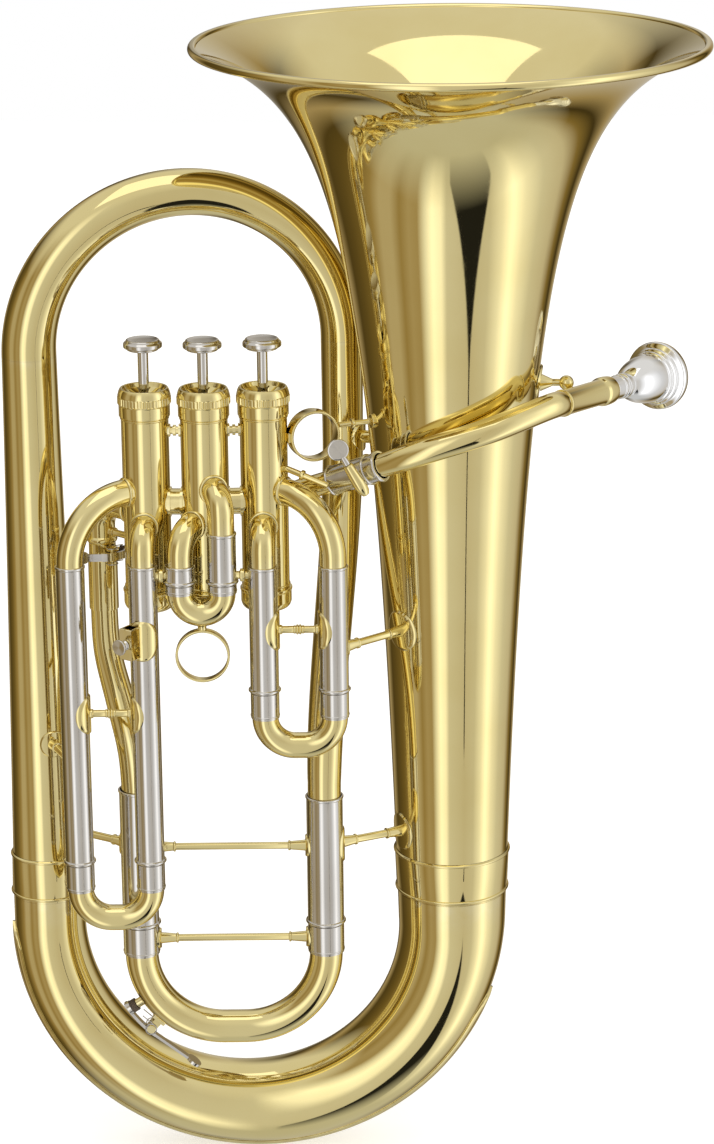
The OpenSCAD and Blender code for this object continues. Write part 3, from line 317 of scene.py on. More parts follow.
def make_wear_and_shade():
    """Corners rubbed bright by wear, and hollows darkened with painted shade, from how sharply the surface
    bends; the hollows' mask also comes out for grime roughness
    """
    tree, given, out = group(
        "wear_and_shade",
        [("Color", COLOUR, (0.8, 0.8, 0.8, 1)), ("Bright", COLOUR, (1, 1, 1, 1)),
         ("Dark", COLOUR, (0.1, 0.08, 0.05, 1)), ("Wear", NUMBER, 0.3), ("Grime", NUMBER, 0.4)],
        [("Color", COLOUR), ("Grime", NUMBER)])
    bend = tree.nodes.new("ShaderNodeNewGeometry").outputs["Pointiness"]
    corner = span(tree, bend, 0.53, 0.62, 0.0, 1.0)
    # Mask of the hollows, where painted shade goes
    hollow = span(tree, bend, 0.47, 0.38, 0.0, 1.0)
    spot = tree.nodes.new("ShaderNodeTexCoord").outputs["Object"]
    uneven = node(tree, "ShaderNodeTexNoise", Vector=spot, Scale=160.0, Detail=4.0)
    broken = span(tree, uneven.outputs[0], 0.35, 0.65, 0.3, 1.0)
    rubbed = maths(tree, "MULTIPLY", maths(tree, "MULTIPLY", corner, broken), given["Wear"])
    hollow_shade_and_grime = maths(tree, "MULTIPLY", maths(tree, "MULTIPLY", hollow, broken), given["Grime"])
    light = blend_colour(tree, rubbed, given["Color"], given["Bright"])
    # Hollows take the Dark colour as painted shade
    tree.links.new(blend_colour(tree, hollow_shade_and_grime, light, given["Dark"]), out["Color"])
    tree.links.new(hollow_shade_and_grime, out["Grime"])
    return tree


def make_fibres():
    """Short tangled fibres or cork grains: colour, and height for the bump"""
    tree, given, out = group(
        "fibres",
        [("Light", COLOUR, (0.2, 0.2, 0.2, 1)), ("Dark", COLOUR, (0.02, 0.02, 0.02, 1)),
         ("Size", NUMBER, 900.0), ("Specks", NUMBER, 0.5)],
        [("Color", COLOUR), ("Height", NUMBER)])
    spot = tree.nodes.new("ShaderNodeTexCoord").outputs["Object"]
    tangle = node(tree, "ShaderNodeTexNoise", Vector=spot, Scale=given["Size"], Detail=6.0,
                  Roughness=0.7, Distortion=1.5)
    cells = node(tree, "ShaderNodeTexVoronoi", Vector=spot, Scale=given["Size"])
    specks = maths(tree, "MULTIPLY", span(tree, cells.outputs[0], 0.1, 0.6, 1.0, 0.0),
                   given["Specks"])
    height = maths(tree, "ADD", tangle.outputs[0], specks)
    tree.links.new(blend_colour(tree, height, given["Dark"], given["Light"]), out["Color"])
    tree.links.new(height, out["Height"])
    return tree


polish, wear_and_shade, fibres = make_polish(), make_wear_and_shade(), make_fibres()


def blank_material(name):
    made = bpy.data.materials.new(name)
    made.use_nodes = True
    return made, made.node_tree, made.node_tree.nodes["Principled BSDF"]


RUBBED = (1.0, 0.97, 0.85, 1)


def metal(name, colour, deep, drift, gloss, smudge, dark, coat=0.0):
    made, tree, shader = blank_material(name)
    surface = node(tree, "ShaderNodeGroup", dict(node_tree=polish), Metal=colour, Deep_Metal=deep,
                   Drift=drift, Gloss=gloss, Smudge=smudge, Peel=0.15)
    # Corners rubbed bright by wear; hollows darkened to the dark colour as painted shade
    worn = node(tree, "ShaderNodeGroup", dict(node_tree=wear_and_shade), Color=surface.outputs["Color"],
                Bright=RUBBED, Dark=dark, Wear=0.25, Grime=0.5)
    bump = node(tree, "ShaderNodeBump", Height=surface.outputs["Height"], Strength=0.03, Distance=0.0004)
    # The hollows' painted-shade mask also makes them rougher, as grime
    rough = maths(tree, "ADD", surface.outputs["Roughness"],
                  maths(tree, "MULTIPLY", worn.outputs["Grime"], 0.25))
    tree.links.new(worn.outputs["Color"], shader.inputs["Base Color"])
    tree.links.new(rough, shader.inputs["Roughness"])
    tree.links.new(bump.outputs[0], shader.inputs["Normal"])
    shader.inputs["Metallic"].default_value = 1.0
    shader.inputs["Coat Weight"].default_value = coat
    shader.inputs["Coat Roughness"].default_value = 0.03
    made.diffuse_color = colour
    return made


def matt(name, light, dark, size, specks, height, rough=0.9):
    made, tree, shader = blank_material(name)
    surface = node(tree, "ShaderNodeGroup", dict(node_tree=fibres), Light=light, Dark=dark,
                   Size=size, Specks=specks)
    bump = node(tree, "ShaderNodeBump", Height=surface.outputs["Height"], Strength=0.6, Distance=height)
    tree.links.new(surface.outputs["Color"], shader.inputs["Base Color"])
    tree.links.new(bump.outputs[0], shader.inputs["Normal"])
    shader.inputs["Roughness"].default_value = rough
    made.diffuse_color = light
    return made


# Each metal's dark colour is the painted shade laid into its hollows
FINISHES = {
    "brass": metal("lacquered_brass", (0.87, 0.75, 0.37, 1), (0.80, 0.66, 0.28, 1), 0.5, 0.04, 0.05,
                   dark=(0.20, 0.10, 0.02, 1), coat=0.25),
    "nickel": metal("nickel_silver", (0.71, 0.69, 0.66, 1), (0.62, 0.59, 0.55, 1), 0.5, 0.09, 0.08,
                    dark=(0.10, 0.08, 0.06, 1)),
    "silver": metal("silver_plate", (0.93, 0.93, 0.93, 1), (0.87, 0.87, 0.88, 1), 0.4, 0.03, 0.04,
                    dark=(0.15, 0.14, 0.13, 1)),
    "steel": metal("spring_steel", (0.55, 0.55, 0.57, 1), (0.40, 0.40, 0.42, 1), 0.6, 0.22, 0.15,
                   dark=(0.05, 0.05, 0.05, 1)),
    "felt": matt("black_felt", (0.06, 0.055, 0.05, 1), (0.008, 0.008, 0.008, 1), 1400.0, 0.2, 0.0004),
    "cork": matt("dark_cork", (0.13, 0.09, 0.06, 1), (0.015, 0.012, 0.010, 1), 1100.0, 0.7, 0.0003, 0.8)}


def solid(name, shape, finish, crease=180):
    """Makes one object from a shape; it shades smooth except where it bends more than the crease"""
    mesh = bpy.data.meshes.new(name)
    mesh.from_pydata([tuple(c * MM for c in corner) for corner in shape[0]], [], shape[1])
    mesh.validate()
    mesh.polygons.foreach_set("use_smooth", [True] * len(mesh.polygons))
    mesh.set_sharp_from_angle(angle=radians(crease))
    mesh.materials.append(finish)
    made = bpy.data.objects.new(name, mesh)
    bpy.context.scene.collection.objects.link(made)
    return made


def piece(name, shape, body, slot, *stands_for, crease=38):
    """Makes one piece with its finish, puts it on its body and hides what it stands for"""
    made = solid(name, shape, FINISHES[slot], crease)
    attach(made, body)
    if stands_for:
        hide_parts(*stands_for)
    return made


# ---------- bell and body ----------
bell_low, bell_high = edges("bell")
RIM = (bell_high.x - bell_low.x) / 2
PLANE = bell_high.z - 0.8
FLARE, SHEET, BEAD = 25.0, 0.8, 2.3
JOINT = bell_low.z


def bell_r(z):
    return RIM * sqrt(FLARE / (PLANE - z + FLARE))


def bell_slope(z):
    return 0.5 * bell_r(z) / (PLANE - z + FLARE)


def make_bell():
    """Thin flared sheet with a wire roll round the rim"""
    edge = RIM - 3.2
    top = PLANE - FLARE * ((RIM / edge) ** 2 - 1)
    heights = [top - (top - JOINT) * (k / 110) ** 2 for k in range(111)]
    outer = [(bell_r(z), z) for z in heights]
    inner = []
    for z in reversed(heights):
        m = bell_slope(z)
        c = 1 / sqrt(1 + m * m)
        inner.append((bell_r(z) - SHEET * c, z + SHEET * m * c))
    inner[0] = (inner[0][0], inner[0][1] + 0.25)
    sheet = turned(outer + inner, sides=192, loop=True, soft=0)
    centre = (RIM - BEAD, bell_high.z + 0.2 - BEAD)
    roll = [(centre[0] + BEAD * cos(2 * pi * k / 28),
             min(centre[1] + BEAD * sin(2 * pi * k / 28), bell_high.z)) for k in range(28)]
    return join(sheet, turned(roll, sides=192, loop=True, soft=0))


piece("bell_flare", make_bell(), "horn", "brass", "bell")

branch_box = edges("outer_branch")
BRANCH_X = (branch_box[0].x + branch_box[1].x) / 2
BOW_BEND = -BRANCH_X / 2
TOP_Z = branch_box[1].z + 1.05
BRANCH_LOW_R = (branch_box[1].x - branch_box[0].x) / 2
BRANCH_HIGH_R = 15.0
BOW_Z = 25.7


def branch_r(z):
    return mix(BRANCH_HIGH_R, BRANCH_LOW_R, ((TOP_Z - z) / (TOP_Z - JOINT)) ** 1.2)


def bow_point(t):
    """Centre line of the bottom bow, t from 0 at the branch to 1 at the bell"""
    a = radians(180 + 180 * t)
    return Vector((BOW_BEND * (cos(a) - 1), 0, BOW_Z + BOW_BEND * (1 + sin(a))))


def bow_r(t):
    return mix(BRANCH_LOW_R, bell_r(JOINT), (mix(1, 31, t) / 32) ** 1.45)


stations = spread(0, 1, 150)
bow_path = [(BRANCH_X, 0, JOINT - 0.05), *map(bow_point, stations), (0, 0, JOINT - 0.05)]
bow_radii = [BRANCH_LOW_R, *map(bow_r, stations), bell_r(JOINT)]
piece("bottom_bow_tube", drawn(bow_path, bow_radii, 0.8, 96), "horn", "brass", "bottom_bow")


def make_guard():
    """Guard plate round the outside of the bottom bow, its ends cut to a round tip"""
    steps, arc = 130, 20
    first, last = 0.002, 27 / 30
    rows = []
    for i in range(steps + 1):
        t = mix(first, last, i / steps)
        p = bow_point(t)
        ahead = (bow_point(t + 0.001) - bow_point(t - 0.001)).normalized()
        out = Vector((0, 1, 0)).cross(ahead)
        along = min(i, steps - i) * (last - first) * pi * BOW_BEND / steps
        tip = min(1.0, along / 16)
        half = radians(34) * max(0.04, sqrt(max(0.0, 1 - (1 - tip) ** 2)))
        row = []
        for thick, order in ((1.45, range(arc + 1)), (0.1, range(arc, -1, -1))):
            for k in order:
                a = half * (2 * k / arc - 1)
                rim = 1 - max(0.0, (abs(2 * k / arc - 1) - 0.9) / 0.1) ** 2
                lift = 0.1 + (thick - 0.1) * max(0.25, rim)
                row.append(p + (bow_r(t) + lift) * (cos(a) * out - sin(a) * Vector((0, 1, 0))))
        rows.append(row)
    return grid(rows)


piece("bow_guard_plate", make_guard(), "horn", "brass", "bow_guard", crease=50)

branch_heights = spread(JOINT, TOP_Z - 1.05, 60)
piece("outer_branch_tube",
      drawn([(BRANCH_X, 0, z) for z in branch_heights], [branch_r(z) for z in branch_heights], 0.8, 80),
      "horn", "brass", "outer_branch")

INNER = Vector((-59.4, 34.0))
TOP_BEND = (INNER.x - BRANCH_X) / 2
TOP_MID = (INNER.x + BRANCH_X) / 2
TOP_INNER_R = 11.7
top_path, top_radii = [], []
for k in range(121):
    a = radians(180 - 1.5 * k)
    top_path.append((TOP_MID + TOP_BEND * cos(a), INNER.y * (1 + cos(a)) / 2, TOP_Z + TOP_BEND * sin(a)))
    top_radii.append(mix(TOP_INNER_R, BRANCH_HIGH_R, (1 - k / 120) ** 1.5))
top_path = [(BRANCH_X, 0, TOP_Z - 1)] + top_path + [(INNER.x, INNER.y, TOP_Z - 1)]
top_radii = [BRANCH_HIGH_R] + top_radii + [TOP_INNER_R]
piece("top_bow_tube", drawn(top_path, top_radii, 0.8, 72), "horn", "brass", "top_bow")

MAIN_Y = middle("main_bow").y
MAIN_R, MAIN_SLEEVE_R = 9.3, 10.2
MAIN_LEFT = edges("main_bow")[0].x + MAIN_R
MAIN_RIGHT = edges("main_bow")[1].x - MAIN_R
MAIN_LOW = edges("main_sleeves")[0].z
MAIN_HIGH_RIGHT, MAIN_HIGH_LEFT = 228.0, 233.0
# Height at which the inner branch has finished its lean towards the bell
LEAN_HIGH = 420.0


def inner_at(z):
    return Vector((mix(MAIN_RIGHT, INNER.x, ease((z - MAIN_HIGH_RIGHT) / (LEAN_HIGH - MAIN_HIGH_RIGHT))),
                   mix(MAIN_Y, INNER.y, ease((z - MAIN_HIGH_RIGHT) / (TOP_Z - 3 - MAIN_HIGH_RIGHT))), z))


inner_heights = spread(MAIN_HIGH_RIGHT - 5, TOP_Z - 1.05, 100)
piece("inner_branch_tube",
      drawn([inner_at(z) for z in inner_heights],
            [mix(MAIN_R, TOP_INNER_R, (max(0.0, t - 0.05) / 0.95) ** 0.65) for t in spread(0, 1, 100)], 0.8,
            64),
      "horn", "brass", "inner_branch")


def ferrule(x, low_r, high_r, low, high):
    """Band over a joint with a rolled bead near each end"""
    def r_at(z):
        return mix(low_r, high_r, (z - low) / (high - low))
    outline = [(r_at(low) + 0.1, low)]
    outline += [(r_at(low) + r, z) for r, z in half_round(0.45, low + 0.3, low + 1.9)]
    outline += [(r_at(low) + 0.5, low + 2.2), (r_at(high) + 0.5, high - 2.2)]
    outline += [(r_at(high) + r, z) for r, z in half_round(0.45, high - 1.9, high - 0.3)]
    outline += [(r_at(high) + 0.1, high)]
    return turned(outline, at(x, 0), 96, soft=0)


ring_low, ring_high = edges("ferrules")
piece("joint_ferrules",
      join(ferrule(0, bell_r(ring_low.z) + 0.1, bell_r(ring_high.z) + 0.1, ring_low.z, ring_high.z),
           ferrule(BRANCH_X, branch_r(ring_low.z) + 0.1, branch_r(ring_high.z) + 0.1, ring_low.z,
                   ring_high.z)),
      "horn", "brass", "ferrules")

# ---------- valves ----------
VALVES = [middle("casing_%d" % i) for i in (1, 2, 3)]
CASING_R = 12.9
casing_low, casing_high = edges("casing_1")[0].z, edges("casing_1")[1].z


def valve_place(i, z=0.0):
    return at(VALVES[i].x, VALVES[i].y, z)


def make_casing(i):
    """Casing with a fine raised ring near each end"""
    low, high, bore, ring = casing_low, casing_high, 11.75, CASING_R + 0.45
    outline = [(CASING_R, low), (CASING_R, low + 8.4), (ring, low + 8.7), (ring, low + 9.3),
               (CASING_R, low + 9.6), (CASING_R, high - 5.3), (ring, high - 5.0), (ring, high - 4.4),
               (CASING_R, high - 4.1), (CASING_R, high), (bore, high), (bore, low)]
    return turned(outline, valve_place(i), 96, True, 0.2)


CAP_R, KNURL_R = 13.9, 14.6
knurl_z, crown_z = casing_high + 3.2, casing_high + 11.8


def knurl(r, z, a):
    if r > 13.8 and knurl_z + 0.3 < z < knurl_z + 3.9:
        return r + 0.28 * max(-1.0, min(1.0, 1.6 * cos(44 * a)))
    return r


def make_top_cap(i):
    """Cap with a skirt, a knurled belt and a dished crown"""
    root = KNURL_R - 0.3
    outline = [(CASING_R + 0.1, casing_high - 3.6), (CAP_R, casing_high - 3.6), (CAP_R, knurl_z - 0.6),
               (root, knurl_z), (root, knurl_z + 0.35), (root, knurl_z + 3.8), (root, knurl_z + 4.1),
               (root + 0.1, knurl_z + 4.6), (13.75, crown_z - 1.6),
               (13.2, crown_z - 0.5), (12.9, crown_z), (11.9, crown_z), (11.5, crown_z - 0.8),
               (10.6, crown_z - 2.4), (7.6, crown_z - 5.2), (6.4, crown_z - 5.8), (4.6, crown_z - 5.7),
               (3.3, crown_z - 5.9), (3.3, crown_z - 9.3)]
    return turned(outline, valve_place(i), 264, soft=0.3, ripple=knurl)


def make_bottom_cap(i):
    """Cup-shaped cap with a rolled lip at its open end"""
    low = edges("bottom_caps")[0].z
    high = casing_low + 7.4
    outline = [(0, low + 1.0), (2.5, low + 0.8), (5.5, low + 0.25), (9, low), (11.2, low + 0.4),
               (12, low + 0.8), (13.0, low + 1.8), (13.4, low + 2.6), (CAP_R, low + 4.2), (CAP_R, high - 2.0),
               (CAP_R + 0.4, high - 1.5), (CAP_R + 0.4, high - 0.3), (CAP_R, high), (CASING_R + 0.05, high)]
    return turned(outline, valve_place(i), 96)


def make_button(i):
    """Finger button: a round disc with a raised rim and a shallow dish on top"""
    low = edges("button_%d" % (i + 1))[0].z
    outline = [(0, 0), (7.4, 0), (8.6, 0.5), (8.6, 1.3), (10.1, 1.6), (10.5, 2.1), (10.5, 3.9), (10.1, 4.4),
               (9.4, 4.9), (8.9, 5.9), (8.3, 6.2), (7.5, 6.05), (6.5, 5.75), (4, 5.55), (0, 5.5)]
    return turned(outline, valve_place(i, low), 96, soft=0.3)


def make_stem(i):
    low, high = edges("stem_%d" % (i + 1))
    r = (high.x - low.x) / 2
    return turned([(0, low.z), (r, low.z), (r, high.z), (0, high.z)], valve_place(i), 40, soft=0.25)


def make_felt(i):
    """Felt washer under the cap, its faces a little uneven"""
    low, high = edges("bumper_felts")
    shape = turned([(8, low.z), (8, high.z), (3.3, high.z), (3.3, low.z)], valve_place(i), 72, True, 0.7)
    return [c + 0.1176 * noise.noise_vector(c * 0.9) for c in shape[0]], shape[1]


WIRE_R = 0.5


def make_spring(i):
    """Return spring of five turns round the stem"""
    low, high = edges("spring_%d" % (i + 1))
    bottom, top, turns, r = low.z + WIRE_R, high.z - WIRE_R, 5, 8.6
    path = []
    for k in range(turns * 48 + 1):
        a = 2 * pi * k / 48
        path.append(Vector((VALVES[i].x + r * cos(a), VALVES[i].y + r * sin(a),
                            mix(bottom, top, k / (turns * 48)))))
    return drawn(path, WIRE_R, None, 12, (0, 0, 1))


for i in range(3):
    n = str(i + 1)
    piece("casing_tube_" + n, make_casing(i), "horn", "brass", "casing_" + n)
    piece("valve_stem_" + n, make_stem(i), "valve_" + n, "nickel", "stem_" + n)
    piece("finger_button_" + n, make_button(i), "valve_" + n, "nickel", "button_" + n)
    coil = piece("valve_spring_" + n, make_spring(i), "horn", "steel", "spring_" + n)
    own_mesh(coil)
piece("cap_crowns", join(*[make_top_cap(i) for i in range(3)]), "horn", "brass", "top_caps")
piece("cap_cups", join(*[make_bottom_cap(i) for i in range(3)]), "horn", "brass", "bottom_caps")
piece("felt_washers", join(*[make_felt(i) for i in range(3)]), "horn", "felt", "bumper_felts")

# ---------- slides ----------
TUBE_R, SLEEVE_R = 7.2, 7.85
SLIDE_Y = middle("slide_1_legs").y
SLIDES = []
for n, low_sleeve, tops, bend in (("1", 296.5, (368.0, 368.0), 16.5), ("2", 358.5, (369.0, 387.0), 11.4),
                                  ("3", 197.5, (369.3, 369.3), 17.0)):
    bow_box = edges("slide_%s_bow" % n)
    SLIDES.append(dict(n=n, left=bow_box[0].x + TUBE_R, right=bow_box[1].x - TUBE_R, low=low_sleeve,
                       tops=tops, bend=bend, band=edges("slide_%s_legs" % n)[0].z))


def sleeve(x, y, r, low, high, lip):
    """Outer slide tube, with a rolled collar at its open end"""
    outline = [(r - 0.55, low + 0.2), (r + 0.2, low)] + half_round(r + 0.1, low + 0.1, low + 2.1)
    outline += [(r, low + 2.5), (r, high - 1.6), (r + lip, high - 1.3), (r + lip, high - 0.3), (r, high),
                (r - 0.55, high)]
    return turned(outline, at(x, y), 72, True, 0.2)


def legs_and_bands(left, right, y, leg_r, band_r, band_low, sleeve_low, tops):
    """Two inner tubes, each with a band at the bow's end"""
    shapes = []
    for x, top in ((left, tops[0]), (right, tops[1])):
        shapes.append(band(leg_r, leg_r - 0.6, band_low + 0.1, top, at(x, y)))
        outline = [(leg_r - 0.5, band_low), (band_r, band_low), (band_r, band_low + 1.1),
                   (band_r + 0.25, band_low + 1.3), (band_r + 0.25, band_low + 1.9),
                   (band_r, band_low + 2.1), (band_r, sleeve_low - 0.4), (leg_r - 0.5, sleeve_low - 0.4)]
        shapes.append(turned(outline, at(x, y), 72, True, 0.25))
    return join(*shapes)


def u_bow(left, right, y, z, bend, r, sides=64):
    """U bend between two legs, with a straight piece at the bottom where the legs stand wide"""
    path = [(x + bend * cos(radians(a)), y, z + bend * sin(radians(a)))
            for x, start in ((left + bend, 180), (right - bend, 270)) for a in spread(start, start + 90, 36)]
    if right - left - 2 * bend < 0.2:
        path.pop(37)
    path = [(left, y, z - 0.02)] + path[1:-1] + [(right, y, z - 0.02)]
    return drawn(path, r, 0.6, sides)


for s in SLIDES:
    slide_body = "slide_" + s["n"]
    piece("slide_%s_inner_tubes" % s["n"],
          legs_and_bands(s["left"], s["right"], SLIDE_Y, TUBE_R, SLEEVE_R, s["band"], s["low"],
                         [t - 9 for t in s["tops"]]), slide_body, "nickel", "slide_%s_legs" % s["n"])
    piece("slide_%s_crook" % s["n"],
          u_bow(s["left"], s["right"], SLIDE_Y, s["band"], s["bend"], TUBE_R), slide_body, "brass",
          "slide_%s_bow" % s["n"])
piece("slide_outer_tubes",
      join(*[sleeve(s[side], SLIDE_Y, SLEEVE_R, s["low"], s["tops"][k], 0.35)
             for s in SLIDES for k, side in enumerate(("left", "right"))]),
      "horn", "nickel", "slide_sleeves")

main_band = edges("main_legs")[0].z
piece("main_outer_tubes",
      join(sleeve(MAIN_RIGHT, MAIN_Y, MAIN_SLEEVE_R, MAIN_LOW, MAIN_HIGH_RIGHT, 0.5),
           sleeve(MAIN_LEFT, MAIN_Y, MAIN_SLEEVE_R, MAIN_LOW, MAIN_HIGH_LEFT, 0.5)),
      "horn", "nickel", "main_sleeves")
piece("main_inner_tubes",
      legs_and_bands(MAIN_LEFT, MAIN_RIGHT, MAIN_Y, MAIN_R, MAIN_SLEEVE_R, main_band, MAIN_LOW,
                     [edges("main_legs")[1].z] * 2), "main_slide", "nickel", "main_legs")
piece("main_crook", u_bow(MAIN_LEFT, MAIN_RIGHT, MAIN_Y, main_band, 46.0, MAIN_R, 72), "main_slide",
      "brass", "main_bow")


def elbow(start, way, first, reach, bend, straights, steps):
    """Level line out from a casing, then a quarter bend down; reach is how far out it ends"""
    path = [start + way * d for d in spread(first, reach - bend - 0.01, straights)]
    for t in spread(0, 1, steps)[1:]:
        a = radians(90 * t)
        path.append(start + way * (reach - bend + bend * sin(a)) - Vector((0, 0, bend * (1 - cos(a)))))
    return path


def port_crook(i, x, port_z, sleeve_top):
    """Bend from a casing, out level and down into a sleeve, with a collar at the casing"""
    v = VALVES[i]
    dx, dy = x - v.x, SLIDE_Y - v.y
    reach = hypot(dx, dy)
    way = Vector((dx / reach, dy / reach, 0))
    bend = min(reach - CASING_R + 1.5, port_z - sleeve_top - 0.5)
    start = Vector((v.x, v.y, port_z))
    path = elbow(start, way, CASING_R - 2, reach, bend, 4, 40) + [Vector((x, SLIDE_Y, sleeve_top - 1.5))]
    side = Vector((-way.y, way.x, 0))
    collar_path = aimed(start + way * (CASING_R - 1.5), way)
    collar = turned(half_round(TUBE_R, 0.5, 2.6), collar_path, 64, soft=0)
    return join(drawn(path, TUBE_R, 0.6, 64, side), collar)


one, two, three = SLIDES
PORT_LOW, PORT_HIGH = 387, 405
ports = [(PORT_LOW, PORT_HIGH), (PORT_LOW + 1, PORT_HIGH + 3), (PORT_HIGH, PORT_LOW)]
piece("port_crooks",
      join(*[port_crook(i, s[side], ports[i][k], s["tops"][k])
             for i, s in enumerate(SLIDES) for k, side in enumerate(("left", "right"))]),
      "horn", "brass", "slide_crooks")

# Third valve's crook: out level, down a leg through its ferrule, then forward to the main slide
LEG = Vector((-192.8, -8.0))
CROOK_Z, CROOK_BEND, CROOK_R, FERRULE_R = 392.0, 14.0, 7.5, 8.2
leg_way = Vector((LEG.x - VALVES[2].x, LEG.y - VALVES[2].y, 0))
leg_reach = leg_way.length
leg_way.normalize()
from_valve = Vector((VALVES[2].x, VALVES[2].y, CROOK_Z))
crook_path = elbow(from_valve, leg_way, CASING_R - 1, leg_reach, CROOK_BEND, 3, 30)
crook_radii = [CROOK_R] * len(crook_path)
for z, r in ([(372.4, CROOK_R)] + [(372.2 - d * 3.9, CROOK_R + 1.1 * sin(pi * d)) for d in spread(0, 1, 8)]
             + [(368.0, CROOK_R), (359.2, CROOK_R), (358.9, FERRULE_R), (345, FERRULE_R), (330.3, FERRULE_R),
                (330.0, CROOK_R)]):
    crook_path.append(Vector((LEG.x, LEG.y, z)))
    crook_radii.append(r)
low_path = smooth_curve([(LEG.x, LEG.y, 350), (LEG.x, LEG.y, 329), (-191.4, -10.5, 305), (-184.6, -21, 280),
                         (-178, -31.5, 257), (MAIN_LEFT, MAIN_Y, 239), (MAIN_LEFT, MAIN_Y, 220),
                         (MAIN_LEFT, MAIN_Y, 201)], 90)
crook_path += low_path
crook_radii += [mix(CROOK_R, MAIN_R - 0.3, ease(1.2 * k / 90)) for k in range(91)]
piece("third_valve_crook",
      join(drawn(crook_path, crook_radii, 0.7, 56),
           turned(half_round(CROOK_R, 0.3, 2.6), aimed(from_valve + leg_way * (CASING_R - 1.2), leg_way), 56,
                  soft=0)),
      "horn", "brass", "valve_crook")

# ---------- mouthpipe ----------
RECEIVER = Vector((59.2, -27.0, 449.0))
mouth_joint = [j for j in frame["record"]["behaviour"]["joints"] if j["name"] == "mouthpiece_pull"][0]
AIM = Vector(mouth_joint["axis"]).normalized()
RECEIVER_LEN = 49.0
lead_path = smooth_curve([(-108, -36, 391), (-92.5, -22.5, 397), (-66, -33, 408.5), (-38, -49, 421.5),
                          (-10, -57.5, 433), (20, -55, 442), RECEIVER - 14 * AIM, RECEIVER,
                          RECEIVER + 8 * AIM, RECEIVER + 16 * AIM], 160)
lead_path = [p for p in lead_path if hypot(p.x - VALVES[0].x, p.y - VALVES[0].y) > CASING_R - 1]
count = len(lead_path) - 1
lead_radii = [6.2 if (p - RECEIVER).dot(AIM) > -0.5 else mix(6.2, 7.0, ease(8 * (k / count - 0.24)))
              for k, p in enumerate(lead_path)]
piece("mouthpipe", drawn(lead_path, lead_radii, 0.7, 56, (0, 0, 1)), "horn", "brass", "leadpipe")

along_receiver = aimed(RECEIVER, AIM)
piece("mouthpiece_receiver",
      turned([(6.5, 12), (6.5, 0), (7.25, 0), (7.5, 0.4), (7.5, 1.6), (7.1, 2), (7.0, 18), (7.0, 36),
              (7.2, 38), (7.9, 39.5), (8.1, 41), (8.05, 43), (8.0, 45), (7.7, 47.6), (7.2, 48.6),
              (6.6, RECEIVER_LEN), (6.0, RECEIVER_LEN), (5.3, 22), (4.6, 21)], along_receiver, 72, soft=0.3),
      "horn", "brass", "receiver")

CUP_Z, MOUTH_R, THROAT = 17.0, 19.2, 3.3
cup_profile = [(4.3, -20), (4.3, -25), (5.25, -25), (5.95, 0), (6.35, 0.6), (6.4, 7.0), (6.9, 7.5),
               (6.9, 8.8), (6.3, 9.4), (6.3, 11.0), (7.1, 11.6), (7.1, 13.4), (6.2, 14.4), (6.25, 16.5)]
cup_profile += [(6.3 + 7.2 * sin(pi / 2 * t), CUP_Z + 22 * t ** 1.35) for t in spread(0, 1, 24)]
cup_profile += [(13.5, 41), (14.6, 41.5), (14.8, 42.5), (14.2, 43.3), (14.5, 44), (15.9, 44.6), (16.2, 45.8),
                (15.9, 46.8), (17.0, 47.3), (18.7, 48.0), (MOUTH_R, 49.2), (MOUTH_R, 51), (18.7, 52.7),
                (17.9, 53.4), (17.0, 53.8), (15.8, 54), (14.8, 53.8), (14.0, 53.3), (13.4, 52.6),
                (12.9, 51.4)]
cup_profile += [(THROAT + (12.3 - THROAT) * sqrt(1 - t), mix(51, 20, t)) for t in spread(0.1, 0.99, 24)]
cup_profile += [(THROAT, 19), (THROAT, 14), (3.0, 0), (3.3, -20)]
mouth_at = aimed(RECEIVER + AIM * (RECEIVER_LEN + 0.4), AIM)
piece("cup_mouthpiece", turned(cup_profile, mouth_at, 128, True, 0.3), "mouthpiece", "silver", "mouthpiece",
      crease=60)

# ---------- braces ----------
PLATE = 0.9
# How much the bell and the outer branch widen per millimetre of height where braces meet them
LEAN_LOW, LEAN_MIDDLE, LEAN_AT_RECEIVER, LEAN_BRANCH = 0.045, 0.06, 0.135, -0.018
LEGS_STRUT_Z, SLEEVES_STRUT_Z, LINK_Z, SLIDE_3_STRUT_Z, SLIDE_1_STRUT_Z = 143, 198, 363, 284.6, 331.7


def mirrored(side, length):
    """Whole outline of a rod from the outline of its first half"""
    return side + [(r, length - h) for r, h in reversed(side)]


def strut(rod_r, length, base_r=0.0, socket_len=0.0, centre=()):
    """Half outline of a rod with a conical socket at its foot"""
    tip = rod_r + 0.4
    outline = [(0, 0)]
    if socket_len > 2:
        outline += [(base_r, 0), (tip, socket_len - 1.4), (tip + 0.5, socket_len - 1.1),
                    (tip + 0.5, socket_len - 0.2), (rod_r, socket_len)]
    else:
        outline += [(base_r or rod_r, 0), (base_r or rod_r, socket_len), (rod_r, socket_len + 0.3)]
    return outline + [(r, length + z) for r, z in centre]


def brace(z, start, end, rod_r, plate_r, socket_len, base_r=3.4, near_r=0.0, centre=()):
    """Level brace between two upright tubes; each end is (x, y, tube radius, taper)"""
    way = Vector((end[0] - start[0], end[1] - start[1], 0))
    turn = degrees(atan2(way.y, way.x))
    near, far = start[2] + PLATE / 2, way.length - end[2] - PLATE / 2
    rod = mirrored(strut(rod_r, (far - near) / 2, base_r, socket_len, centre), far - near)
    return join(patch(at(start[0], start[1], z), start[2], PLATE, near_r or plate_r, turn, start[3]),
                patch(at(end[0], end[1], z), end[2], PLATE, plate_r, turn + 180, end[3]),
                turned(rod, level((start[0], start[1], z), turn) @ at(0, 0, near), 40, soft=0.2))


TWO_RINGS = [(2.0, -2.9), (2.3, -2.7), (2.3, -1.7), (2.0, -1.5), (2.8, -1.2), (2.8, -0.4), (2.1, 0)]


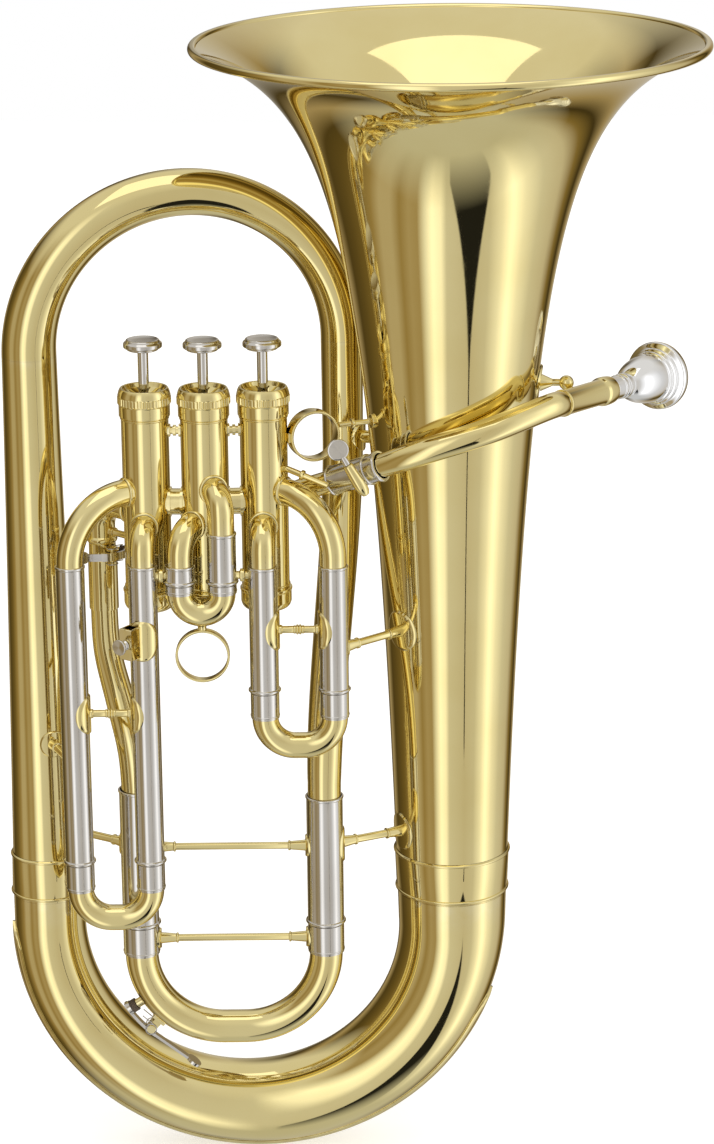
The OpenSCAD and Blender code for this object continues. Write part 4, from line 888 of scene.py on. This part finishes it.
def sleeve_link(left, right, z):
    """Short link with a round collar, between two neighbouring slide sleeves"""
    gap = right - left - 2 * SLEEVE_R
    side = [(0, -0.3), (2.2, -0.3), (2.2, gap / 2 - 1.5), (3.6, gap / 2 - 1.1)]
    return turned(mirrored(side, gap), level((left + SLEEVE_R, SLIDE_Y, z), 0), 40, soft=0.3)


def along(start, end):
    """Puts +Z on the line from one point to another, and +X below it"""
    d = Vector(end) - Vector(start)
    turn = Matrix.Rotation(atan2(d.y, d.x), 4, "Z") @ Matrix.Rotation(atan2(hypot(d.x, d.y), d.z), 4, "Y")
    return Matrix.Translation(start) @ turn


main_left_end, main_right_end = (MAIN_LEFT, MAIN_Y, MAIN_SLEEVE_R, 0), (MAIN_RIGHT, MAIN_Y, MAIN_SLEEVE_R, 0)
piece("main_slide_strut",
      brace(LEGS_STRUT_Z, (MAIN_LEFT, MAIN_Y, MAIN_SLEEVE_R + 0.3, 0),
            (MAIN_RIGHT, MAIN_Y, MAIN_SLEEVE_R + 0.3, 0), 2, 6, 10, 3.2),
      "main_slide", "brass", "main_slide_brace")


def slide_strut(s, z):
    return brace(z, (s["left"], SLIDE_Y, SLEEVE_R, 0), (s["right"], SLIDE_Y, SLEEVE_R, 0), 2, 11.4, 1.5, 2.6,
                 centre=TWO_RINGS)


piece("sleeve_struts",
      join(slide_strut(three, SLIDE_3_STRUT_Z), slide_strut(one, SLIDE_1_STRUT_Z),
           brace(SLEEVES_STRUT_Z, main_left_end, main_right_end, 2, 6.5, 10, 3.2),
           sleeve_link(three["right"], two["left"], LINK_Z),
           sleeve_link(two["right"], one["left"], LINK_Z)),
      "horn", "brass", "sleeve_braces")


def bell_end(z, taper):
    return 0, 0, bell_r(z) + 0.2, taper


def branch_end(z):
    return BRANCH_X, 0, branch_r(z) + 0.2, LEAN_BRANCH


def make_branch_strut():
    """Thick strut between the inner branch and the bell, on a round plate"""
    z = 419
    start = inner_at(z)
    turn = degrees(atan2(-start.y, -start.x))
    reach = hypot(start.x, start.y) - bell_r(z) + 0.3
    return join(patch(Matrix.Translation(start), 11.6, 1.2, 8.8, turn),
                turned([(0, 11), (3.6, 11), (3.6, reach), (0, reach)], level(start, turn), 48, soft=0.2))


def make_ring_strut():
    """Rod from the thumb ring to the bell, with a bead and a round foot"""
    z, start = 438, Vector((-61.4, -25.5, 438))
    reach = hypot(start.x, start.y) - bell_r(z)
    outline = [(0, 0), (1.5, 0), (1.5, 6.8), (2.7, 7.2), (2.7, 8.8), (1.5, 9.2), (1.5, reach - 3),
               (2.4, reach - 2.2), (4, reach - 1.6), (4, reach + 0.3), (0, reach + 0.3)]
    return turned(outline, level(start, degrees(atan2(-start.y, -start.x))), 48, soft=0.25)


def make_lead_strut():
    """Rod from the first casing down to the leadpipe's sleeve"""
    start, end = Vector((VALVES[0].x, VALVES[0].y, 421)), Vector((-67.5, -43.7, 409))
    d = end - start
    clear = CASING_R * d.length / hypot(d.x, d.y) - 0.3
    outline = [(0, clear), (1.7, clear), (1.7, 21.8), (2.8, 22.2), (2.8, 23.8), (1.7, 24.2), (1.7, d.length),
               (0, d.length)]
    return turned(outline, along(start, end), 40, soft=0.2)


def make_receiver_strut():
    """Cone and rod from the bell to a round head behind the receiver"""
    z, turn = 455, -4
    foot = bell_r(z) + 0.8
    ball = [(4.1 * sin(pi * k / 24), -4.1 * cos(pi * k / 24)) for k in range(25)]
    return join(patch(at(0, 0, z), bell_r(z) + 0.3, PLATE, 10, turn, LEAN_AT_RECEIVER),
                turned([(0, foot), (5, foot), (2.3, foot + 6), (2, foot + 6.5), (2, foot + 12),
                        (0, foot + 12)], level((0, 0, z), turn), 48, soft=0.25),
                turned(ball, at(63, -5, z), 48, soft=0))


piece("body_struts",
      join(brace(SLEEVES_STRUT_Z, main_right_end, bell_end(SLEEVES_STRUT_Z, LEAN_LOW), 2.2, 11, 9),
           brace(320, (one["right"], SLIDE_Y, SLEEVE_R, 0), bell_end(320, LEAN_MIDDLE), 2.2, 11.5, 9,
                 near_r=5.8),
           brace(253, branch_end(253), (three["left"], SLIDE_Y, SLEEVE_R, 0), 2.2, 7.7, 7),
           brace(199, branch_end(199), main_left_end, 2.2, 7.5, 7),
           brace(375.4, (LEG.x, LEG.y, CROOK_R + 0.1, 0), (VALVES[2].x, VALVES[2].y, CASING_R, 0), 1.9, 2.7,
                 2.5, 2.4),
           make_branch_strut(), make_ring_strut(), make_lead_strut(), make_receiver_strut()),
      "horn", "brass", "body_braces")


# ---------- rings, screws and the lyre socket ----------
def make_pull_ring():
    """Ring under the second slide's bow, on a short waisted post"""
    low, high = edges("pull_ring")
    r, wide = (high.x - low.x) / 2, high.y - low.y
    centre = Vector(((low.x + high.x) / 2, SLIDE_Y, low.z + r))
    post = [(0, r - 0.6), (3.1, r - 0.6), (2.5, r + 0.2), (2.3, r + 1.2), (2.6, r + 2.2), (0, r + 2.3)]
    return join(band(r, r - 1.3, -wide / 2, wide / 2, level(centre, 90), 96, 0.55),
                turned(post, Matrix.Translation(centre), 40, soft=0.3))


THUMB, THUMB_R, THUMB_TURN, THUMB_WIDE = Vector((-75.2, -30.5, 434)), 14.0, 20, 9.0


def make_thumb_ring():
    turn = Matrix.Translation(THUMB) @ Matrix.Rotation(radians(THUMB_TURN), 4, "Z")
    ring = band(THUMB_R, THUMB_R - 1.4, -THUMB_WIDE / 2, THUMB_WIDE / 2, level(THUMB, 90 + THUMB_TURN), 96,
                0.6)
    return join(ring, block((1.6, 6, 5), turn @ at(-THUMB_R - 0.35, 0, 0), 0.3))


piece("slide_ring", make_pull_ring(), "slide_2", "brass", "pull_ring")
piece("thumb_hoop", make_thumb_ring(), "horn", "brass", "thumb_ring")

SLEEVE_FROM, SLEEVE_TO = Vector((-65, -33.4, 408.9)), Vector((-38.5, -48.8, 421.3))


def make_pipe_sleeve():
    length, r = (SLEEVE_TO - SLEEVE_FROM).length, 7.9
    outline = [(r - 0.75, 0), (r, 0)] + half_round(r, 0, 1.4) + half_round(r, length - 9, length - 7.4)
    outline += half_round(r, length - 1.9, length - 0.1) + [(r - 0.75, length)]
    return turned(outline, along(SLEEVE_FROM, SLEEVE_TO), 72, True, soft=0)


POST, POST_UP, POST_LEN = Vector((-46.8, -54.3, 406.6)), Vector((-0.5, -0.08, 0.86)), 20.0
on_post = along(POST, POST + POST_UP)


def make_post():
    outline = [(0, 0), (1.8, 0.2), (2.9, 2.2), (3.6, 5.5), (3.7, 8.5), (3.4, 13), (2.7, POST_LEN - 0.4),
               (2.3, POST_LEN), (1.65, POST_LEN), (1.65, 5), (0, 5)]
    return turned(outline, on_post, 56, soft=0.3)


def make_post_screw():
    """Screw with a tapered neck and a flat thumb disc"""
    shank = [(0, 5.5), (1.5, 5.5), (1.5, POST_LEN + 0.3), (2.2, POST_LEN + 0.4), (1.7, POST_LEN + 5.4),
             (0, POST_LEN + 5.5)]
    disc = [(0, 0.1), (5, 0), (5.7, 0.25), (6, 0.8), (6, 1.4), (5.7, 1.95), (5, 2.2), (0, 2.1)]
    face = on_post @ at(0, 0, POST_LEN + 10) @ Matrix.Rotation(pi / 2, 4, "X") @ at(0, 0, -1.1)
    return join(turned(shank, on_post, 40, soft=0.2), turned(disc, face, 72, soft=0.2))


piece("pipe_sleeve", make_pipe_sleeve(), "horn", "nickel", "leadpipe_sleeve")
piece("screw_barrel", make_post(), "horn", "brass", "screw_post")
piece("thumb_screw", make_post_screw(), "post_screw", "nickel", "post_screw")

LYRE_TURN, LYRE_Z, LYRE_OUT, LYRE_BOX, LYRE_TALL, LYRE_SLOT = 234, 328, 11.8, 8.2, 17.5, 5.8
at_lyre = at(three["right"], SLIDE_Y, LYRE_Z) @ Matrix.Rotation(radians(LYRE_TURN), 4, "Z")


def make_lyre_socket():
    """Square box with a square way through it, on a plate bent round the sleeve"""
    box, slot, top, edge = LYRE_BOX / 2, LYRE_SLOT / 2, LYRE_TALL / 2, 0.35
    outline = [(box - edge, -top), (box, edge - top), (box, top - edge), (box - edge, top), (slot, top),
               (slot, -top)]
    sides = ((-1, -1), (1, -1), (1, 1), (-1, 1))
    rows = [[at_lyre @ Vector((LYRE_OUT + x * half, y * half, z)) for x, y in sides] for half, z in outline]
    return join(grid(rows, chain=True),
                patch(at(three["right"], SLIDE_Y, LYRE_Z), SLEEVE_R, PLATE, 11.4, 262))


def make_lyre_screw():
    start = LYRE_OUT + LYRE_BOX / 2 + 0.3
    outline = [(0, LYRE_OUT + 3), (1.5, LYRE_OUT + 3), (1.5, start), (2.6, start), (3, start + 0.6),
               (2.2, start + 1.6), (2.2, start + 3), (3, start + 3.8), (4.1, start + 4.1), (4.4, start + 4.5),
               (4.4, start + 5.5), (4.1, start + 5.8), (3.4, start + 5.7), (0, start + 5.3)]
    return turned(outline, at_lyre @ Matrix.Rotation(pi / 2, 4, "Y"), 56, soft=0.25)


piece("lyre_box", make_lyre_socket(), "horn", "brass", "lyre_socket")
piece("lyre_thumb_screw", make_lyre_screw(), "lyre_screw", "nickel", "lyre_screw")

# ---------- CAD nodes that keep their shape get their finish here ----------
for entry in frame["record"]["subparts"]:
    cad = frame["nodes"][entry["node"]]
    cad.data.materials.clear()
    cad.data.materials.append(FINISHES[entry["material_slot"]])

# ---------- studio ----------
scene = bpy.context.scene
scene.view_settings.view_transform = "Standard"

# How strongly the room lights the horn
SCREEN_POWER = 1.62
# Direction of the gap between the two front screens, in degrees from +X
GAP_TURN = -68
WHITE, SOOT = (1, 1, 1, 1), (0.01, 0.01, 0.01, 1)
CEILING, UNDERFOOT = (0.46, 0.45, 0.43, 1), (0.35, 0.35, 0.34, 1)
# Brightness of the room at angles round the horn, in degrees from +X; -90 is straight ahead
ROOM = [(-180, 0.20), (-170, 0.30), (-158, 0.30), (-148, 0.20), (-138, 0.26), (-128, 0.24), (-120, 0.55),
        (-112, 0.85), (-102, 0.72), (-96, 0.42), (-84, 0.40), (-66, 0.37), (-48, 0.40), (-34, 0.60),
        (-22, 0.90), (-8, 0.62), (10, 0.42), (30, 0.36), (44, 0.14), (56, 0.03), (68, 0.22), (86, 0.36),
        (104, 0.04), (118, 0.24), (136, 0.05), (150, 0.07), (163, 0.10), (180, 0.20)]


def make_studio_air():
    """Pale room all round, with darker gaps between the big soft screens"""
    world = bpy.data.worlds.new("studio")
    scene.world = world
    world.use_nodes = True
    tree = world.node_tree
    back = tree.nodes["Background"]
    way = tree.nodes.new("ShaderNodeTexCoord").outputs["Generated"]
    parts = node(tree, "ShaderNodeSeparateXYZ", Vector=way)
    turn = maths(tree, "ARCTAN2", parts.outputs[1], parts.outputs[0])
    round_room = span(tree, turn, -pi, pi, 0.0, 1.0)
    ramp = node(tree, "ShaderNodeValToRGB", Fac=round_room)
    for _ in ROOM[2:]:
        ramp.color_ramp.elements.new(0.5)
    for element, (angle, shade) in zip(ramp.color_ramp.elements, ROOM):
        element.position = (angle + 180) / 360
        # The darker parts of the room are warm
        paleness = ease((shade - 0.12) / 0.34)
        element.color = (shade, shade * mix(0.70, 1, paleness), shade * mix(0.22, 1, paleness), 1)
    # The gap between two screens opens out towards the floor
    off_gap = maths(tree, "ABSOLUTE", maths(tree, "ADD", turn, radians(-GAP_TURN)))
    gap_width = span(tree, parts.outputs[2], -0.45, -0.85, -0.04, 0.40)
    gap = span(tree, maths(tree, "SUBTRACT", off_gap, gap_width), 0.0, 0.03, 1.0, 0.0)
    shade = blend_colour(tree, gap, ramp.outputs[0], SOOT)
    high = span(tree, parts.outputs[2], 0.35, 0.7, 0.0, 1.0)
    low = span(tree, parts.outputs[2], -0.75, -0.95, 0.0, 1.0)
    shade = blend_colour(tree, high, shade, CEILING)
    shade = blend_colour(tree, low, shade, UNDERFOOT)
    seen = tree.nodes.new("ShaderNodeLightPath").outputs["Is Camera Ray"]
    shade = blend_colour(tree, seen, shade, WHITE)
    tree.links.new(shade, back.inputs[0])
    tree.links.new(span(tree, seen, 0.0, 1.0, SCREEN_POWER, 1.0), back.inputs[1])


make_studio_air()


FLOOR_TILES, TILE, FLAT_OUT_TO, CURL = 20, 150.0, 2200, 0.0001


def make_floor():
    """Wide pale floor that curls up a little at its edges, so it fades into the room"""
    lines = [k * TILE for k in range(-FLOOR_TILES, FLOOR_TILES + 1)]
    rows = [[(x, y, -0.3 + max(0.0, hypot(x, y) - FLAT_OUT_TO) ** 2 * CURL) for x in lines] for y in lines]
    paper, tree, shader = blank_material("floor_paper")
    surface = node(tree, "ShaderNodeGroup", dict(node_tree=fibres), Light=(0.98, 0.98, 0.98, 1),
                   Dark=(0.93, 0.93, 0.93, 1), Size=60.0, Specks=0.2)
    tree.links.new(surface.outputs["Color"], shader.inputs["Base Color"])
    shader.inputs["Roughness"].default_value = 0.9
    shader.inputs["Specular IOR Level"].default_value = 0.0
    shader.inputs["Emission Color"].default_value = WHITE
    shader.inputs["Emission Strength"].default_value = 0.55
    floor = solid("studio_floor", grid(rows, ring=False), paper)
    floor.visible_glossy = False


make_floor()


def make_top_screen():
    """Big soft light above the horn; metres, like the camera's place"""
    place, look_at, side = Vector((-0.1, -0.3, 2.4)), Vector((-0.06, 0, 0.3)), 1.6
    data = bpy.data.lights.new("top_screen", "AREA")
    data.shape = "RECTANGLE"
    data.size, data.size_y, data.energy = side, side, 5
    lamp = bpy.data.objects.new("top_screen", data)
    lamp.location = place
    lamp.rotation_euler = (look_at - place).to_track_quat("-Z", "Y").to_euler()
    scene.collection.objects.link(lamp)


FLAG_X, FLAG_Y, FLAG_TURN, FLAG_TOP, FLAG_BOTTOM = 560, -1387, 22, 140, -420


def make_flag():
    """Narrow dark flag between two screens; it shows only as a line in the polished metal"""
    across = Vector((cos(radians(FLAG_TURN)), sin(radians(FLAG_TURN)), 0))
    rows = []
    for t in spread(0, 1, 8):
        middle_line = Vector((FLAG_X, FLAG_Y, mix(FLAG_TOP, FLAG_BOTTOM, t)))
        half = mix(11, 24, t * t)
        rows.append([middle_line + side * half * across for side in spread(-1, 1, 4)])
    cloth = matt("flag_cloth", (0.012, 0.012, 0.012, 1), (0.004, 0.004, 0.004, 1), 400.0, 0.2, 0.0004)
    flag = solid("dark_flag", grid(rows, ring=False), cloth)
    flag.visible_camera = flag.visible_diffuse = flag.visible_shadow = False


make_flag()
make_top_screen()

CAMERA_AT, CAMERA_TILT, CAMERA_ROLL, LENS = (-0.05232, -1.91191, 0.93842), 72.8, -0.61, 113.2867
camera_data = bpy.data.cameras.new("camera")
camera_data.sensor_width = 36.0
camera_data.lens = LENS
camera = bpy.data.objects.new("camera", camera_data)
camera.matrix_world = (Matrix.Translation(CAMERA_AT) @ Matrix.Rotation(radians(CAMERA_TILT), 4, "X")
                       @ Matrix.Rotation(radians(CAMERA_ROLL), 4, "Z"))
scene.collection.objects.link(camera)
scene.camera = camera
